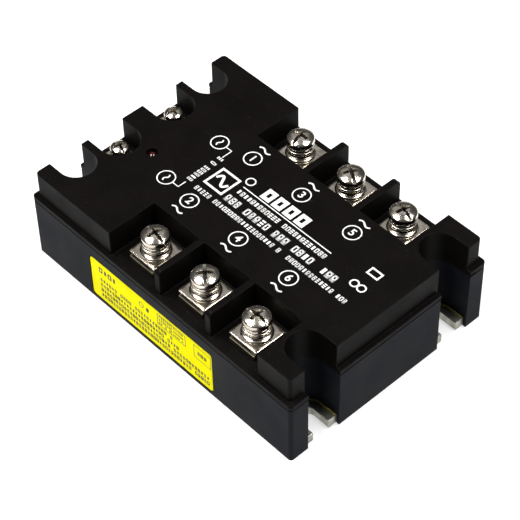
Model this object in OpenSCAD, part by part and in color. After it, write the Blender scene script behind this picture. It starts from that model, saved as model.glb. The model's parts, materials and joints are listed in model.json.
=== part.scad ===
// Three-phase solid state relay: a moulded case and cover on a metal base plate,
// three line and three load screw terminals, two control screw terminals,
// and the power and trigger parts inside.
// +X is the long way, away from the control terminals. +Y is the line side. +Z is up.
// The origin is the middle of the base plate's underside.

/* [Case] */
// Length of the case along X
case_len = 105; // [100:1:130]
// Width of the case along Y
case_wid = 73; // [70:1:90]
// Height of the top deck above the mounting surface
case_h = 31.3; // [30:0.1:40]
// Height of the joint between the lower case and the cover
seam_z = 20.5; // [19:0.5:25]
// Thickness of the cover's flange, which is also the terminal floor
flange_t = 1.9; // [1.5:0.1:3]
// Step from the flange's end in to the upper block
block_inset_x = 1.4; // [0.8:0.1:3]
// Step from the flange's side in to the upper block
block_inset_y = 1.2; // [0.8:0.1:3]
// Radius of the upright corners
corner_r = 1.2; // [0.5:0.1:2]
// Wall of the lower case
case_wall = 2.2; // [1.8:0.1:3]
// Wall of the cover
cover_wall = 2; // [1.5:0.1:2.5]
// Thickness of the top deck
deck_t = 2.2; // [1.5:0.1:3]

/* [Mounting] */
// From the case's end to the middle of a mounting pocket's round end
mount_inset_x = 6.5; // [6:0.1:9]
// From the case's side to the middle of a mounting pocket
mount_inset_y = 12; // [11:0.1:14]
// Radius of a mounting pocket in the plastic
pocket_r = 5.65; // [4.7:0.05:6.8]
// Radius of a mounting slot in the base plate
slot_r = 2.8; // [2.3:0.05:3.4]
// Thickness of the base plate
plate_t = 3; // [2.5:0.1:4]
// Step from the case's outline in to the base plate's edge
plate_inset = 1.1; // [1:0.1:1.5]

/* [Power terminals] */
// Place of the first pair of power terminals along X
term_first_x = -10; // [-12:0.5:-8]
// Distance between power terminals
term_pitch = 20; // [18.5:0.1:20.5]
// Thickness of the partition between two power terminals
partition_t = 2.1; // [1.5:0.1:3]
// From the case's side in to the terminal screw
term_inset_y = 9.5; // [9:0.1:10.5]
// Width of the raised deck between the two rows of power terminals
deck_wid = 38.2; // [36:0.1:39]
// Side of a power clamp plate
power_clamp_w = 10.6; // [8.8:0.1:12.8]
// Thread diameter of a power screw
power_screw_d = 4; // [3.5:0.1:4.8]
// Head diameter of a power screw
power_head_d = 8; // [7:0.1:9.5]
// Thickness of a power terminal bar
power_bar_t = 1.6; // [1:0.1:2]

/* [Control terminals] */
// From the case's end to a control screw
control_inset_x = 7.5; // [7:0.1:9]
// Distance between the two control screws
control_pitch = 20.2; // [18:0.1:24]
// Radius of a control terminal recess
control_recess_r = 6.25; // [5.6:0.05:7]
// Side of a control clamp plate
control_clamp_w = 7.4; // [6.2:0.1:8]
// Thread diameter of a control screw
control_screw_d = 3; // [2.5:0.1:3.4]
// Head diameter of a control screw
control_head_d = 5.6; // [5:0.1:6.6]
// Thickness of a control terminal bar
control_bar_t = 1.2; // [0.8:0.1:1.4]

/* [Inside] */
// Length of a ceramic substrate, across the case
substrate_len = 36; // [32:1:44]
// Width of a ceramic substrate
substrate_wid = 17.5; // [17:0.1:18.2]
// Thickness of the control board
board_t = 1.6; // [0.8:0.1:2]
// Height of the control board's underside above the base plate
board_lift = 10; // [9:0.5:10.5]
// Depth of the potting compound on the base plate
potting_depth = 6; // [5:0.5:8]
// Diameter of the status light
led_d = 3; // [2:0.5:3]

/* [Hidden] */
$fn = 48;

// Overshoot of a cutting solid past the face that it cuts
cut = 1;

// Heights and places that follow from the case
ledge_z = seam_z + flange_t;
mount_x = case_len / 2 - mount_inset_x;
mount_y = case_wid / 2 - mount_inset_y;
term_y = case_wid / 2 - term_inset_y;
control_x = case_len / 2 - control_inset_x;
block_half_x = case_len / 2 - block_inset_x;
block_half_y = case_wid / 2 - block_inset_y;
term_sides = [1, -1];
term_count = 3;
bank_end_gap = 0.4;
bank_x0 = term_first_x - term_pitch / 2 + partition_t / 2 - bank_end_gap;
bank_x1 = term_first_x + (term_count - 0.5) * term_pitch - partition_t / 2;
partition_round = 1.6;

// Joint between the lower case and the cover
seam_gap = 0.3;
seam_depth = 0.9;
spigot_h = 2;
spigot_wall = 1.2;
spigot_fit = 0.15;

// Base plate's seat in the lower case
seat_fit = 0.1;
adhesive_t = 0.2;
seat_z = plate_t + adhesive_t;
pocket_wall = 1.8;

// Rating label, let into the case's load side
label_len = 50;
label_h = 15;
label_x = -2.8;
label_z = 9.1;
label_t = 0.12;
label_recess = 0.15;
label_margin = 0.3;
label_r = 1.2;

// Status light
led_inset_x = 17.7;
led_x = -case_len / 2 + led_inset_x;
led_y = -6.6;
led_fit = 0.1;
led_below_deck = 0.5;
led_body_h = 5;
led_flange_h = 1;
led_flange_r = led_d / 2 + 0.35;
led_lead_gap = 1.27;
led_lead_w = 0.5;

// Board, and the posts under the deck that hold it down
board_z = plate_t + board_lift;
board_top = board_z + board_t;
board_gap = 0.55;
board_half_y = mount_y - pocket_r - pocket_wall - board_gap;
board_end_gap = 2.3;
board_x0 = -case_len / 2 + case_wall + board_end_gap;
board_x1 = bank_x1;
post_r = 1.5;
post_margin = 0.15;
post_x = [bank_x0 - post_margin, board_x1 - post_r - post_margin];
post_y = board_half_y - post_r - post_margin;

// Substrate: copper, ceramic and copper bonded in one plate
copper_t = 0.3;
ceramic_t = 0.65;
pad_margin = 1;
pad_gap = 2;
pad_z = plate_t + 2 * copper_t + ceramic_t;

// Thyristor chips, two on each substrate, and the straps that join them
chip_x = 4;
chip_y = 6.5;
chip_wid = 7.5;
chip_len = 8;
chip_t = 0.4;
chip_top = pad_z + chip_t;
strap_wid = 4;
strap_t = 0.4;
strap_rise = 1.5;
strap_chip_end = 8.5;
strap_chip_bend = 4.5;
strap_pad_bend = -3;
strap_pad_end = -6;
gate_y = 9.8;
gate_r = 0.35;
gate_stub = 0.4;
hole_fit = 0.1;

// Clearances around the screws
thread_fit = 0.05;
washer_fit = 0.15;
clamp_gap = 0.1;
head_gap = 0.05;
slot_fit = 0.1;
// Clearance between the potting compound and the case's walls
potting_fit = 0.05;
foot_overlap = 5;
tip_gap = 1;
well_gap = 0.2;
hump_step = 0.1;

// The two kinds of screw terminal, as lists of named sizes
power = [
  ["screw_d", power_screw_d],
  ["head_d", power_head_d],
  ["head_side", 1.8],
  ["head_dome", 1],
  ["clamp_w", power_clamp_w],
  ["clamp_t", 1],
  ["lip_h", 0.6],
  ["hump_h", 2.2],
  ["hump_in", 0.8],
  ["flat_t", 0.8],
  ["spring_t", 1.2],
  ["spring_wall", 1.6],
  ["bar_t", power_bar_t],
  ["bar_w", 9.6],
  ["bar_out", 0.3],
  ["leg_w", 7],
  ["collar_wall", 0.95],
  ["collar_h", 4],
  ["well_wall", 1.4],
  ["tip_depth", 4.9]
];
control = [
  ["screw_d", control_screw_d],
  ["head_d", control_head_d],
  ["head_side", 1.5],
  ["head_dome", 0.8],
  ["clamp_w", control_clamp_w],
  ["clamp_t", 0.8],
  ["lip_h", 0.5],
  ["hump_h", 1.2],
  ["hump_in", 0.6],
  ["flat_t", 0],
  ["spring_t", 0.8],
  ["spring_wall", 1],
  ["bar_t", control_bar_t],
  ["bar_w", 5.6],
  ["bar_out", 0.25],
  ["leg_w", 3],
  ["collar_wall", 0.55],
  ["collar_h", 3],
  ["well_wall", 1.2],
  ["tip_depth", 3.8]
];
function get(kit, name) = [for (entry = kit) if (entry[0] == name) entry[1]][0];
function screw_r(k) = get(k, "screw_d") / 2;
function head_r(k) = get(k, "head_d") / 2;
function head_side(k) = get(k, "head_side");
function head_dome(k) = get(k, "head_dome");
function clamp_w(k) = get(k, "clamp_w");
function clamp_t(k) = get(k, "clamp_t");
function lip_h(k) = get(k, "lip_h");
function hump_h(k) = get(k, "hump_h");
function hump_in(k) = get(k, "hump_in");
function flat_t(k) = get(k, "flat_t");
function spring_t(k) = get(k, "spring_t");
function spring_wall(k) = get(k, "spring_wall");
function bar_t(k) = get(k, "bar_t");
function bar_w(k) = get(k, "bar_w");
function bar_out(k) = get(k, "bar_out");
function leg_w(k) = get(k, "leg_w");
function collar_h(k) = get(k, "collar_h");
function well_wall(k) = get(k, "well_wall");
function collar_r(k) = screw_r(k) + thread_fit + get(k, "collar_wall");
function well_r(k) = collar_r(k) + well_gap;
function tip_z(k) = ledge_z - get(k, "tip_depth");

// Heights in the stack on one terminal, from the floor up
function bar_top(k) = ledge_z + bar_t(k);
function clamp_z(k) = bar_top(k) + clamp_gap;
function clamp_top(k) = clamp_z(k) + lip_h(k) + clamp_t(k);
function hump_top(k) = clamp_top(k) + hump_h(k);
function spring_z(k) = hump_top(k) + flat_t(k);
function head_z(k) = spring_z(k) + spring_t(k) + head_gap;
// The leg stands just inside the well's wall and just outside the clamp plate's inner edge
function leg_y1(k) = -well_r(k) - well_wall(k) - 2 * slot_fit;
function leg_y0(k) = min(leg_y1(k) - bar_t(k), -clamp_w(k) / 2);
function well_floor(k) = tip_z(k) - tip_gap;

// Turn of each screw's driver slot and of each spring washer's split, in degrees
line_slot_turn = [99, -30, -14];
load_slot_turn = [-8, -39, 0];
control_slot_turn = [-15, -98];
line_split_turn = [150, 165, 170];
load_split_turn = [-42, -55, -40];
control_split_turn = [30, 60];

function term_x(i) = term_first_x + (i - 1) * term_pitch;

// ---- Plan outlines ----

// A rectangle with round corners, centred
module rounded_rect(l, w, r) {
  square([l - 2 * r, w], center = true);
  square([l, w - 2 * r], center = true);
  for (sx = [-1, 1], sy = [-1, 1])
    translate([sx * (l / 2 - r), sy * (w / 2 - r)]) circle(r);
}

// The four mounting slots, open at the case's ends
module end_slots(r) {
  for (sx = [0, 1], sy = [-1, 1])
    mirror([sx, 0]) translate([mount_x, sy * mount_y]) {
      circle(r);
      translate([0, -r]) square([case_len / 2, 2 * r]);
    }
}

// The two control recesses, open at the -X end
module control_recesses(grow) {
  for (sy = [-1, 1])
    translate([-control_x, sy * control_pitch / 2]) {
      circle(control_recess_r + grow);
      translate([-case_len / 2, -control_recess_r - grow])
        square([case_len / 2, 2 * (control_recess_r + grow)]);
    }
}

// The strip along each long side that holds the power terminals
module terminal_banks(grow) {
  for (s = term_sides)
    translate([bank_x0 - grow, s > 0 ? deck_wid / 2 - grow : -case_wid])
      square([bank_x1 - bank_x0 + 2 * grow, case_wid - deck_wid / 2 + grow]);
}

module case_inside(fit = 0) {
  wall = case_wall + fit;
  difference() {
    rounded_rect(case_len - 2 * wall, case_wid - 2 * wall, corner_r);
    end_slots(pocket_r + pocket_wall + fit);
  }
}

module plate_outline() {
  rounded_rect(case_len - 2 * plate_inset, case_wid - 2 * plate_inset, corner_r);
}

module cover_inside() {
  difference() {
    rounded_rect(2 * (block_half_x - cover_wall), 2 * (block_half_y - cover_wall), corner_r);
    end_slots(pocket_r + pocket_wall);
    control_recesses(cover_wall);
    terminal_banks(cover_wall);
  }
}

// ---- Placing on terminals: +Y points out of the case ----

module at_line(i) { translate([term_x(i), term_y, 0]) children(); }
module at_load(i) { translate([term_x(i), -term_y, 0]) rotate(180) children(); }
module at_control(i) {
  translate([-control_x, (i - 1.5) * control_pitch, 0]) rotate(90) children();
}
module at_power() {
  for (i = [1:term_count]) {
    at_line(i) children();
    at_load(i) children();
  }
}
module at_controls() { for (i = [1, 2]) at_control(i) children(); }

// ---- Moulded case ----

module well(k) {
  translate([0, 0, well_floor(k) - well_wall(k)])
    cylinder(r = well_r(k) + well_wall(k), h = seam_z - well_floor(k) + well_wall(k) + cut / 2);
}

module well_cut(k) {
  translate([0, 0, well_floor(k)]) cylinder(r = well_r(k), h = case_h);
  translate([-leg_w(k) / 2 - slot_fit, leg_y0(k) - slot_fit, seam_z - cut])
    cube([leg_w(k) + 2 * slot_fit, leg_y1(k) - leg_y0(k) + 2 * slot_fit, flange_t + 2 * cut]);
}

// The partitions between neighbouring power terminals, with their outer top edge rounded
module partitions() {
  reach = block_half_y - deck_wid / 2 + cut;
  for (i = [1:term_count - 1], s = term_sides)
    translate([term_x(i) + term_pitch / 2 - partition_t / 2, 0, 0])
      mirror([0, s > 0 ? 0 : 1, 0])
        rotate([90, 0, 90])
          linear_extrude(partition_t)
            difference() {
              translate([block_half_y - reach, ledge_z - cut / 2])
                square([reach, case_h - ledge_z + cut / 2]);
              translate([block_half_y - partition_round, case_h - partition_round])
                difference() {
                  square(partition_round + cut);
                  circle(partition_round);
                }
            }
}

// Ribs under the flange that drop inside the lower case's rim
module spigot() {
  inset = case_wall + spigot_fit;
  translate([0, 0, seam_z - spigot_h]) linear_extrude(spigot_h + cut / 2)
    difference() {
      rounded_rect(case_len - 2 * inset, case_wid - 2 * inset, corner_r);
      rounded_rect(case_len - 2 * (inset + spigot_wall), case_wid - 2 * (inset + spigot_wall), corner_r);
      end_slots(pocket_r + pocket_wall + spigot_fit);
    }
}

// Groove that shows as a thin line between the cover and the lower case
module seam_groove() {
  translate([0, 0, seam_z - cut]) linear_extrude(seam_gap + cut)
    difference() {
      rounded_rect(case_len + 2 * cut, case_wid + 2 * cut, corner_r);
      rounded_rect(case_len - 2 * seam_depth, case_wid - 2 * seam_depth, corner_r);
    }
}

module cover_shell() {
  difference() {
    union() {
      translate([0, 0, seam_z]) linear_extrude(flange_t) rounded_rect(case_len, case_wid, corner_r);
      translate([0, 0, seam_z]) linear_extrude(case_h - seam_z)
        rounded_rect(2 * block_half_x, 2 * block_half_y, corner_r);
    }
    translate([0, 0, seam_z - cut]) linear_extrude(case_h - deck_t - seam_z + cut) cover_inside();
    translate([0, 0, ledge_z]) linear_extrude(case_h) terminal_banks(0);
    translate([0, 0, ledge_z]) linear_extrude(case_h) control_recesses(0);
    seam_groove();
    translate([0, 0, seam_z - cut]) linear_extrude(case_h) end_slots(pocket_r);
  }
}

module top_cover() {
  color([0.10, 0.10, 0.10])
    difference() {
      union() {
        cover_shell();
        spigot();
        partitions();
        at_power() well(power);
        at_controls() well(control);
        for (x = post_x, sy = [-1, 1])
          translate([x, sy * post_y, board_top])
            cylinder(r = post_r, h = case_h - deck_t / 2 - board_top);
      }
      at_power() well_cut(power);
      at_controls() well_cut(control);
      translate([led_x, led_y, seam_z]) cylinder(r = led_d / 2 + led_fit, h = case_h);
    }
}

module lower_case() {
  color([0.12, 0.12, 0.13])
    difference() {
      linear_extrude(seam_z)
        difference() {
          rounded_rect(case_len, case_wid, corner_r);
          case_inside();
          end_slots(pocket_r);
        }
      translate([0, 0, -cut]) linear_extrude(seat_z + cut)
        rounded_rect(case_len - 2 * plate_inset + 2 * seat_fit,
                     case_wid - 2 * plate_inset + 2 * seat_fit, corner_r + seat_fit);
      translate([label_x, -case_wid / 2 + label_recess, label_z]) rotate([90, 0, 0])
        linear_extrude(cut)
          rounded_rect(label_len + 2 * label_margin, label_h + 2 * label_margin, label_r);
    }
}

module rating_label() {
  color([0.96, 0.86, 0.08])
    translate([label_x, -case_wid / 2 + label_recess, label_z]) rotate([90, 0, 0])
      linear_extrude(label_t) rounded_rect(label_len, label_h, label_r);
}

module base_plate() {
  color([0.78, 0.78, 0.76])
    linear_extrude(plate_t)
      difference() {
        plate_outline();
        end_slots(slot_r);
      }
}

// Glue line between the plate's rim and the case
module base_adhesive() {
  color([0.45, 0.42, 0.14])
    translate([0, 0, plate_t]) linear_extrude(adhesive_t)
      difference() {
        plate_outline();
        case_inside();
        end_slots(pocket_r);
      }
}

module status_led() {
  base = case_h - led_below_deck - led_body_h;
  color([0.45, 0.03, 0.03])
    translate([led_x, led_y, 0]) {
      translate([0, 0, base]) cylinder(d = led_d, h = led_body_h - led_d / 2);
      translate([0, 0, base + led_body_h - led_d / 2])
        intersection() {
          sphere(led_d / 2);
          translate([0, 0, led_d / 2]) cube(led_d, center = true);
        }
      translate([0, 0, base - led_flange_h]) cylinder(r = led_flange_r, h = led_flange_h);
      for (s = [-1, 1])
        translate([s * led_lead_gap - led_lead_w / 2, -led_lead_w / 2, board_top])
          cube([led_lead_w, led_lead_w, base - led_flange_h - board_top]);
    }
}

// ---- Power stage ----

module substrate(i) {
  pad_len = (substrate_len - pad_gap) / 2 - pad_margin;
  pad_wid = substrate_wid - 2 * pad_margin;
  color([0.92, 0.92, 0.88])
    translate([term_x(i), 0, plate_t]) {
      translate([-pad_wid / 2, -substrate_len / 2 + pad_margin, 0])
        cube([pad_wid, substrate_len - 2 * pad_margin, copper_t]);
      translate([-substrate_wid / 2, -substrate_len / 2, copper_t])
        cube([substrate_wid, substrate_len, ceramic_t]);
      for (s = [0, 1])
        mirror([0, s, 0])
          translate([-pad_wid / 2, pad_gap / 2, copper_t + ceramic_t])
            cube([pad_wid, pad_len, copper_t]);
    }
}

// Places its children over both chips of every substrate; the two face opposite ways
module at_chips() {
  for (i = [1:term_count], turn = [0, 180])
    translate([term_x(i), 0, 0]) rotate(turn) translate([-chip_x, 0, 0]) children();
}

module thyristor_chips() {
  color([0.35, 0.36, 0.40])
    at_chips()
      translate([-chip_wid / 2, chip_y - chip_len / 2, pad_z]) cube([chip_wid, chip_len, chip_t]);
}

// Bent copper straps from each chip's top to the pad of the other chip
module cathode_straps() {
  span_z = chip_top + strap_rise;
  color([0.80, 0.50, 0.30])
    at_chips()
      translate([-strap_wid / 2, 0, 0]) rotate([90, 0, 90])
        linear_extrude(strap_wid)
          polygon([
            [strap_chip_end, chip_top], [strap_chip_end, chip_top + strap_t],
            [strap_chip_bend, chip_top + strap_t], [strap_chip_bend, span_z + strap_t],
            [strap_pad_bend, span_z + strap_t], [strap_pad_bend, pad_z + strap_t],
            [strap_pad_end, pad_z + strap_t], [strap_pad_end, pad_z],
            [strap_pad_bend + strap_t, pad_z], [strap_pad_bend + strap_t, span_z],
            [strap_chip_bend - strap_t, span_z], [strap_chip_bend - strap_t, chip_top]
          ]);
}

module gate_leads() {
  color([0.75, 0.75, 0.72])
    at_chips()
      translate([0, gate_y, chip_top])
        cylinder(r = gate_r, h = board_top + gate_stub - chip_top);
}

module potting_compound() {
  color([0.55, 0.57, 0.60])
    difference() {
      translate([0, 0, plate_t]) linear_extrude(potting_depth) case_inside(potting_fit);
      for (i = [1:term_count]) substrate(i);
      thyristor_chips();
      cathode_straps();
      gate_leads();
      at_power() terminal_leg(power, pad_z);
    }
}

// ---- Control board and its parts ----

module control_board() {
  color([0.10, 0.35, 0.18])
    difference() {
      translate([board_x0, -board_half_y, board_z])
        cube([board_x1 - board_x0, 2 * board_half_y, board_t]);
      at_chips()
        translate([0, gate_y, board_z - cut]) cylinder(r = gate_r + hole_fit, h = board_t + 2 * cut);
      at_controls()
        translate([-leg_w(control) / 2 - slot_fit, leg_y0(control) - slot_fit, board_z - cut])
          cube([leg_w(control) + 2 * slot_fit, leg_y1(control) - leg_y0(control) + 2 * slot_fit,
                board_t + 2 * cut]);
    }
}

// A flat chip package with gull-wing pins, centred, standing on the board
module chip_package(l, w, h, pins) {
  standoff = 0.2;
  pin_w = 0.6;
  pin_t = 0.3;
  pin_out = 1.2;
  pin_pitch = 2.54;
  translate([0, 0, board_top]) {
    translate([-l / 2, -w / 2, standoff]) cube([l, w, h]);
    for (p = [1:pins], s = [0, 1])
      mirror([0, s, 0])
        translate([(p - (pins + 1) / 2) * pin_pitch - pin_w / 2, w / 2, 0]) {
          translate([0, -pin_t, h / 2]) cube([pin_w, pin_out / 2 + pin_t, pin_t]);
          translate([0, pin_out / 2 - pin_t, 0]) cube([pin_w, pin_t, h / 2 + pin_t]);
          translate([0, pin_out / 2 - pin_t, 0]) cube([pin_w, pin_out / 2 + pin_t, pin_t]);
        }
  }
}

// A box film capacitor with two short leads, centred
module box_capacitor(l, w, h) {
  standoff = 0.6;
  lead_r = 0.35;
  lead_in = 1.8;
  translate([0, 0, board_top]) {
    translate([-l / 2, -w / 2, standoff]) cube([l, w, h]);
    for (s = [-1, 1]) translate([s * (l / 2 - lead_in), 0, 0]) cylinder(r = lead_r, h = standoff);
  }
}

// A resistor lying along X, with its leads bent down to the board
module axial_resistor(l, r) {
  lift = 0.4;
  lead_r = 0.35;
  lead_out = 1.6;
  translate([0, 0, board_top + lift + r]) {
    rotate([0, 90, 0]) cylinder(r = r, h = l, center = true);
    rotate([0, 90, 0]) cylinder(r = lead_r, h = l + 2 * lead_out, center = true);
  }
  for (s = [-1, 1])
    translate([s * (l / 2 + lead_out), 0, board_top]) {
      cylinder(r = lead_r, h = lift + r);
      translate([0, 0, lift + r]) sphere(lead_r);
    }
}

input_inset = 6.15;
input_x = bank_x0 - input_inset;
opto_size = [7.3, 6.4, 3.4];
opto_pins = 3;
snubber_cap_size = [13, 5, 10];
snubber_cap_y = 10.8;
snubber_resistor_size = [8, 1.7];
snubber_resistor_y = -8;
rectifier_size = [8.2, 6.4, 3.2];
rectifier_pins = 2;
rectifier_at = [input_x, -10];
input_cap_size = [10, 6, 10];
input_cap_shift = -3;
input_cap_at = [input_x + input_cap_shift, 9.5];
input_resistor_size = [6.5, 1.3];
input_resistor_y = [-2, 2.2];

module trigger_optocouplers() {
  color([0.93, 0.92, 0.88])
    for (i = [1:term_count])
      translate([term_x(i), 0, 0]) chip_package(opto_size[0], opto_size[1], opto_size[2], opto_pins);
}

module snubber_capacitors() {
  color([0.80, 0.65, 0.15])
    for (i = [1:term_count])
      translate([term_x(i), snubber_cap_y, 0])
        box_capacitor(snubber_cap_size[0], snubber_cap_size[1], snubber_cap_size[2]);
}

module snubber_resistors() {
  color([0.45, 0.60, 0.75])
    for (i = [1:term_count])
      translate([term_x(i), snubber_resistor_y, 0])
        axial_resistor(snubber_resistor_size[0], snubber_resistor_size[1]);
}

module input_rectifier() {
  color([0.08, 0.08, 0.08])
    translate([rectifier_at[0], rectifier_at[1], 0])
      chip_package(rectifier_size[0], rectifier_size[1], rectifier_size[2], rectifier_pins);
}

module input_capacitor() {
  color([0.75, 0.20, 0.12])
    translate([input_cap_at[0], input_cap_at[1], 0])
      box_capacitor(input_cap_size[0], input_cap_size[1], input_cap_size[2]);
}

module input_resistors() {
  color([0.75, 0.62, 0.42])
    for (y = input_resistor_y)
      translate([input_x, y, 0]) axial_resistor(input_resistor_size[0], input_resistor_size[1]);
}

// ---- Screw terminals ----

// The upright leg of a bar, and its foot towards the middle where it is soldered to a substrate
module terminal_leg(k, foot_z) {
  foot_tip = -(term_y - substrate_len / 2 + foot_overlap);
  translate([-leg_w(k) / 2, 0, 0]) {
    translate([0, leg_y0(k), foot_z]) cube([leg_w(k), leg_y1(k) - leg_y0(k), bar_top(k) - foot_z]);
    translate([0, foot_tip, foot_z]) cube([leg_w(k), leg_y1(k) - foot_tip, bar_t(k)]);
  }
}

module terminal_tab(k) {
  difference() {
    union() {
      translate([-bar_w(k) / 2, leg_y0(k), ledge_z])
        cube([bar_w(k), clamp_w(k) / 2 + bar_out(k) - leg_y0(k), bar_t(k)]);
      translate([0, 0, ledge_z - collar_h(k)]) cylinder(r = collar_r(k), h = collar_h(k) + bar_t(k) / 2);
    }
    translate([0, 0, ledge_z - collar_h(k) - cut])
      cylinder(r = screw_r(k) + thread_fit, h = collar_h(k) + bar_t(k) + 2 * cut);
  }
}

module power_terminal() {
  color([0.80, 0.76, 0.66]) {
    terminal_tab(power);
    terminal_leg(power, pad_z);
  }
}

module control_terminal() {
  pin_below = 1.2;
  color([0.80, 0.76, 0.66]) {
    terminal_tab(control);
    translate([-leg_w(control) / 2, leg_y0(control), board_z - pin_below])
      cube([leg_w(control), leg_y1(control) - leg_y0(control), bar_top(control) - board_z + pin_below]);
  }
}

// Pressed clamp plate: a channel with two edges turned down and a hollow hump under the screw
module clamp_plate(k) {
  w = clamp_w(k);
  t = clamp_t(k);
  top_r = head_r(k) - hump_step;
  base_r = top_r + hump_in(k);
  base_z = clamp_top(k) - t;
  color([0.82, 0.78, 0.68])
    difference() {
      union() {
        translate([0, w / 2, clamp_z(k)]) rotate([90, 0, 0]) linear_extrude(w) channel(w, t, lip_h(k));
        translate([0, 0, base_z]) cylinder(r1 = base_r, r2 = top_r, h = hump_h(k) + t);
      }
      translate([0, 0, base_z - cut]) cylinder(r = screw_r(k) + washer_fit, h = hump_h(k) + t + 2 * cut);
      translate([0, 0, base_z - cut]) cylinder(r = base_r - t, h = cut + hump_h(k) / 2);
      translate([0, 0, base_z + hump_h(k) / 2]) cylinder(r1 = base_r - t, r2 = top_r - t, h = hump_h(k) / 2);
    }
}

// Section of the clamp plate: a flat top with round shoulders over two lips
module channel(w, t, lip) {
  difference() {
    union() {
      translate([-w / 2, 0]) square([w, lip]);
      translate([-w / 2 + t, 0]) square([w - 2 * t, lip + t]);
      for (s = [-1, 1]) translate([s * (w / 2 - t), lip]) circle(t);
    }
    translate([-w / 2 + t, -cut]) square([w - 2 * t, lip + cut]);
    translate([-w, -t]) square([2 * w, t]);
  }
}

module flat_washer(k) {
  color([0.80, 0.77, 0.68])
    translate([0, 0, hump_top(k)])
      difference() {
        cylinder(r = head_r(k), h = flat_t(k));
        translate([0, 0, -cut]) cylinder(r = screw_r(k) + washer_fit, h = flat_t(k) + 2 * cut);
      }
}

// Split spring washer, drawn pressed flat as it is under a tight screw
module spring_washer(k, split_turn) {
  split = 12;
  color([0.76, 0.74, 0.68])
    translate([0, 0, spring_z(k)]) rotate(split_turn + split / 2)
      rotate_extrude(angle = 360 - split)
        translate([screw_r(k) + washer_fit, 0]) square([spring_wall(k), spring_t(k)]);
}

// Pan head screw with a cross recess and a slot across the head
module terminal_screw(k, slot_turn) {
  r = head_r(k);
  dome = head_dome(k);
  dome_r = (r * r + dome * dome) / (2 * dome);
  slot_w = r * 0.26;
  slot_depth = dome + r * 0.12;
  cross_len = r * 1.15;
  cross_depth = dome + r * 0.3;
  tip_chamfer = 0.5;
  color([0.84, 0.80, 0.72])
    difference() {
      union() {
        translate([0, 0, head_z(k)])
          rotate_extrude()
            intersection() {
              translate([0, head_side(k) + dome - dome_r]) circle(dome_r, $fn = 96);
              square([r, head_side(k) + dome]);
            }
        translate([0, 0, tip_z(k) + tip_chamfer])
          cylinder(r = screw_r(k), h = head_z(k) + head_side(k) / 2 - tip_z(k) - tip_chamfer);
        translate([0, 0, tip_z(k)])
          cylinder(r1 = screw_r(k) - tip_chamfer, r2 = screw_r(k), h = tip_chamfer);
      }
      translate([0, 0, head_z(k) + head_side(k) + dome]) rotate(slot_turn) {
        translate([-r - cut, -slot_w / 2, -slot_depth]) cube([2 * (r + cut), slot_w, slot_depth + cut]);
        for (turn = [0, 90])
          rotate(turn)
            translate([-cross_len / 2, -slot_w / 2, -cross_depth])
              cube([cross_len, slot_w, cross_depth + cut]);
      }
    }
}

top_cover();
lower_case();
base_plate();
base_adhesive();
rating_label();
status_led();
control_board();
trigger_optocouplers();
snubber_capacitors();
snubber_resistors();
input_rectifier();
input_capacitor();
input_resistors();
gate_leads();
substrate(1);  // ceramic_substrate_1
substrate(2);  // ceramic_substrate_2
substrate(3);  // ceramic_substrate_3
thyristor_chips();
cathode_straps();
potting_compound();
at_line(1) power_terminal();  // line_terminal_1
at_line(2) power_terminal();  // line_terminal_2
at_line(3) power_terminal();  // line_terminal_3
at_load(1) power_terminal();  // load_terminal_1
at_load(2) power_terminal();  // load_terminal_2
at_load(3) power_terminal();  // load_terminal_3
at_control(1) control_terminal();  // control_terminal_1
at_control(2) control_terminal();  // control_terminal_2
at_line(1) clamp_plate(power);  // line_clamp_plate_1
at_line(2) clamp_plate(power);  // line_clamp_plate_2
at_line(3) clamp_plate(power);  // line_clamp_plate_3
at_load(1) clamp_plate(power);  // load_clamp_plate_1
at_load(2) clamp_plate(power);  // load_clamp_plate_2
at_load(3) clamp_plate(power);  // load_clamp_plate_3
at_control(1) clamp_plate(control);  // control_clamp_plate_1
at_control(2) clamp_plate(control);  // control_clamp_plate_2
at_line(1) flat_washer(power);  // line_flat_washer_1
at_line(2) flat_washer(power);  // line_flat_washer_2
at_line(3) flat_washer(power);  // line_flat_washer_3
at_load(1) flat_washer(power);  // load_flat_washer_1
at_load(2) flat_washer(power);  // load_flat_washer_2
at_load(3) flat_washer(power);  // load_flat_washer_3
at_line(1) spring_washer(power, line_split_turn[0]);  // line_spring_washer_1
at_line(2) spring_washer(power, line_split_turn[1]);  // line_spring_washer_2
at_line(3) spring_washer(power, line_split_turn[2]);  // line_spring_washer_3
at_load(1) spring_washer(power, load_split_turn[0]);  // load_spring_washer_1
at_load(2) spring_washer(power, load_split_turn[1]);  // load_spring_washer_2
at_load(3) spring_washer(power, load_split_turn[2]);  // load_spring_washer_3
at_control(1) spring_washer(control, control_split_turn[0]);  // control_spring_washer_1
at_control(2) spring_washer(control, control_split_turn[1]);  // control_spring_washer_2
at_line(1) terminal_screw(power, line_slot_turn[0]);  // line_screw_1
at_line(2) terminal_screw(power, line_slot_turn[1]);  // line_screw_2
at_line(3) terminal_screw(power, line_slot_turn[2]);  // line_screw_3
at_load(1) terminal_screw(power, load_slot_turn[0]);  // load_screw_1
at_load(2) terminal_screw(power, load_slot_turn[1]);  // load_screw_2
at_load(3) terminal_screw(power, load_slot_turn[2]);  // load_screw_3
at_control(1) terminal_screw(control, control_slot_turn[0]);  // control_screw_1
at_control(2) terminal_screw(control, control_slot_turn[1]);  // control_screw_2
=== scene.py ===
"""Three-phase solid state relay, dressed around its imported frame.

Sizes are metres in the part's own frame: +X runs away from the control terminals, +Y towards the line
terminals and +Z up, with the origin in the middle of the base plate's underside.
"""

from __future__ import annotations

import json
import logging
import math
from dataclasses import dataclass, field
from enum import Enum
from typing import Callable, Iterable, Sequence

import bmesh
import bpy
from mathutils import Matrix, Vector

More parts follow.
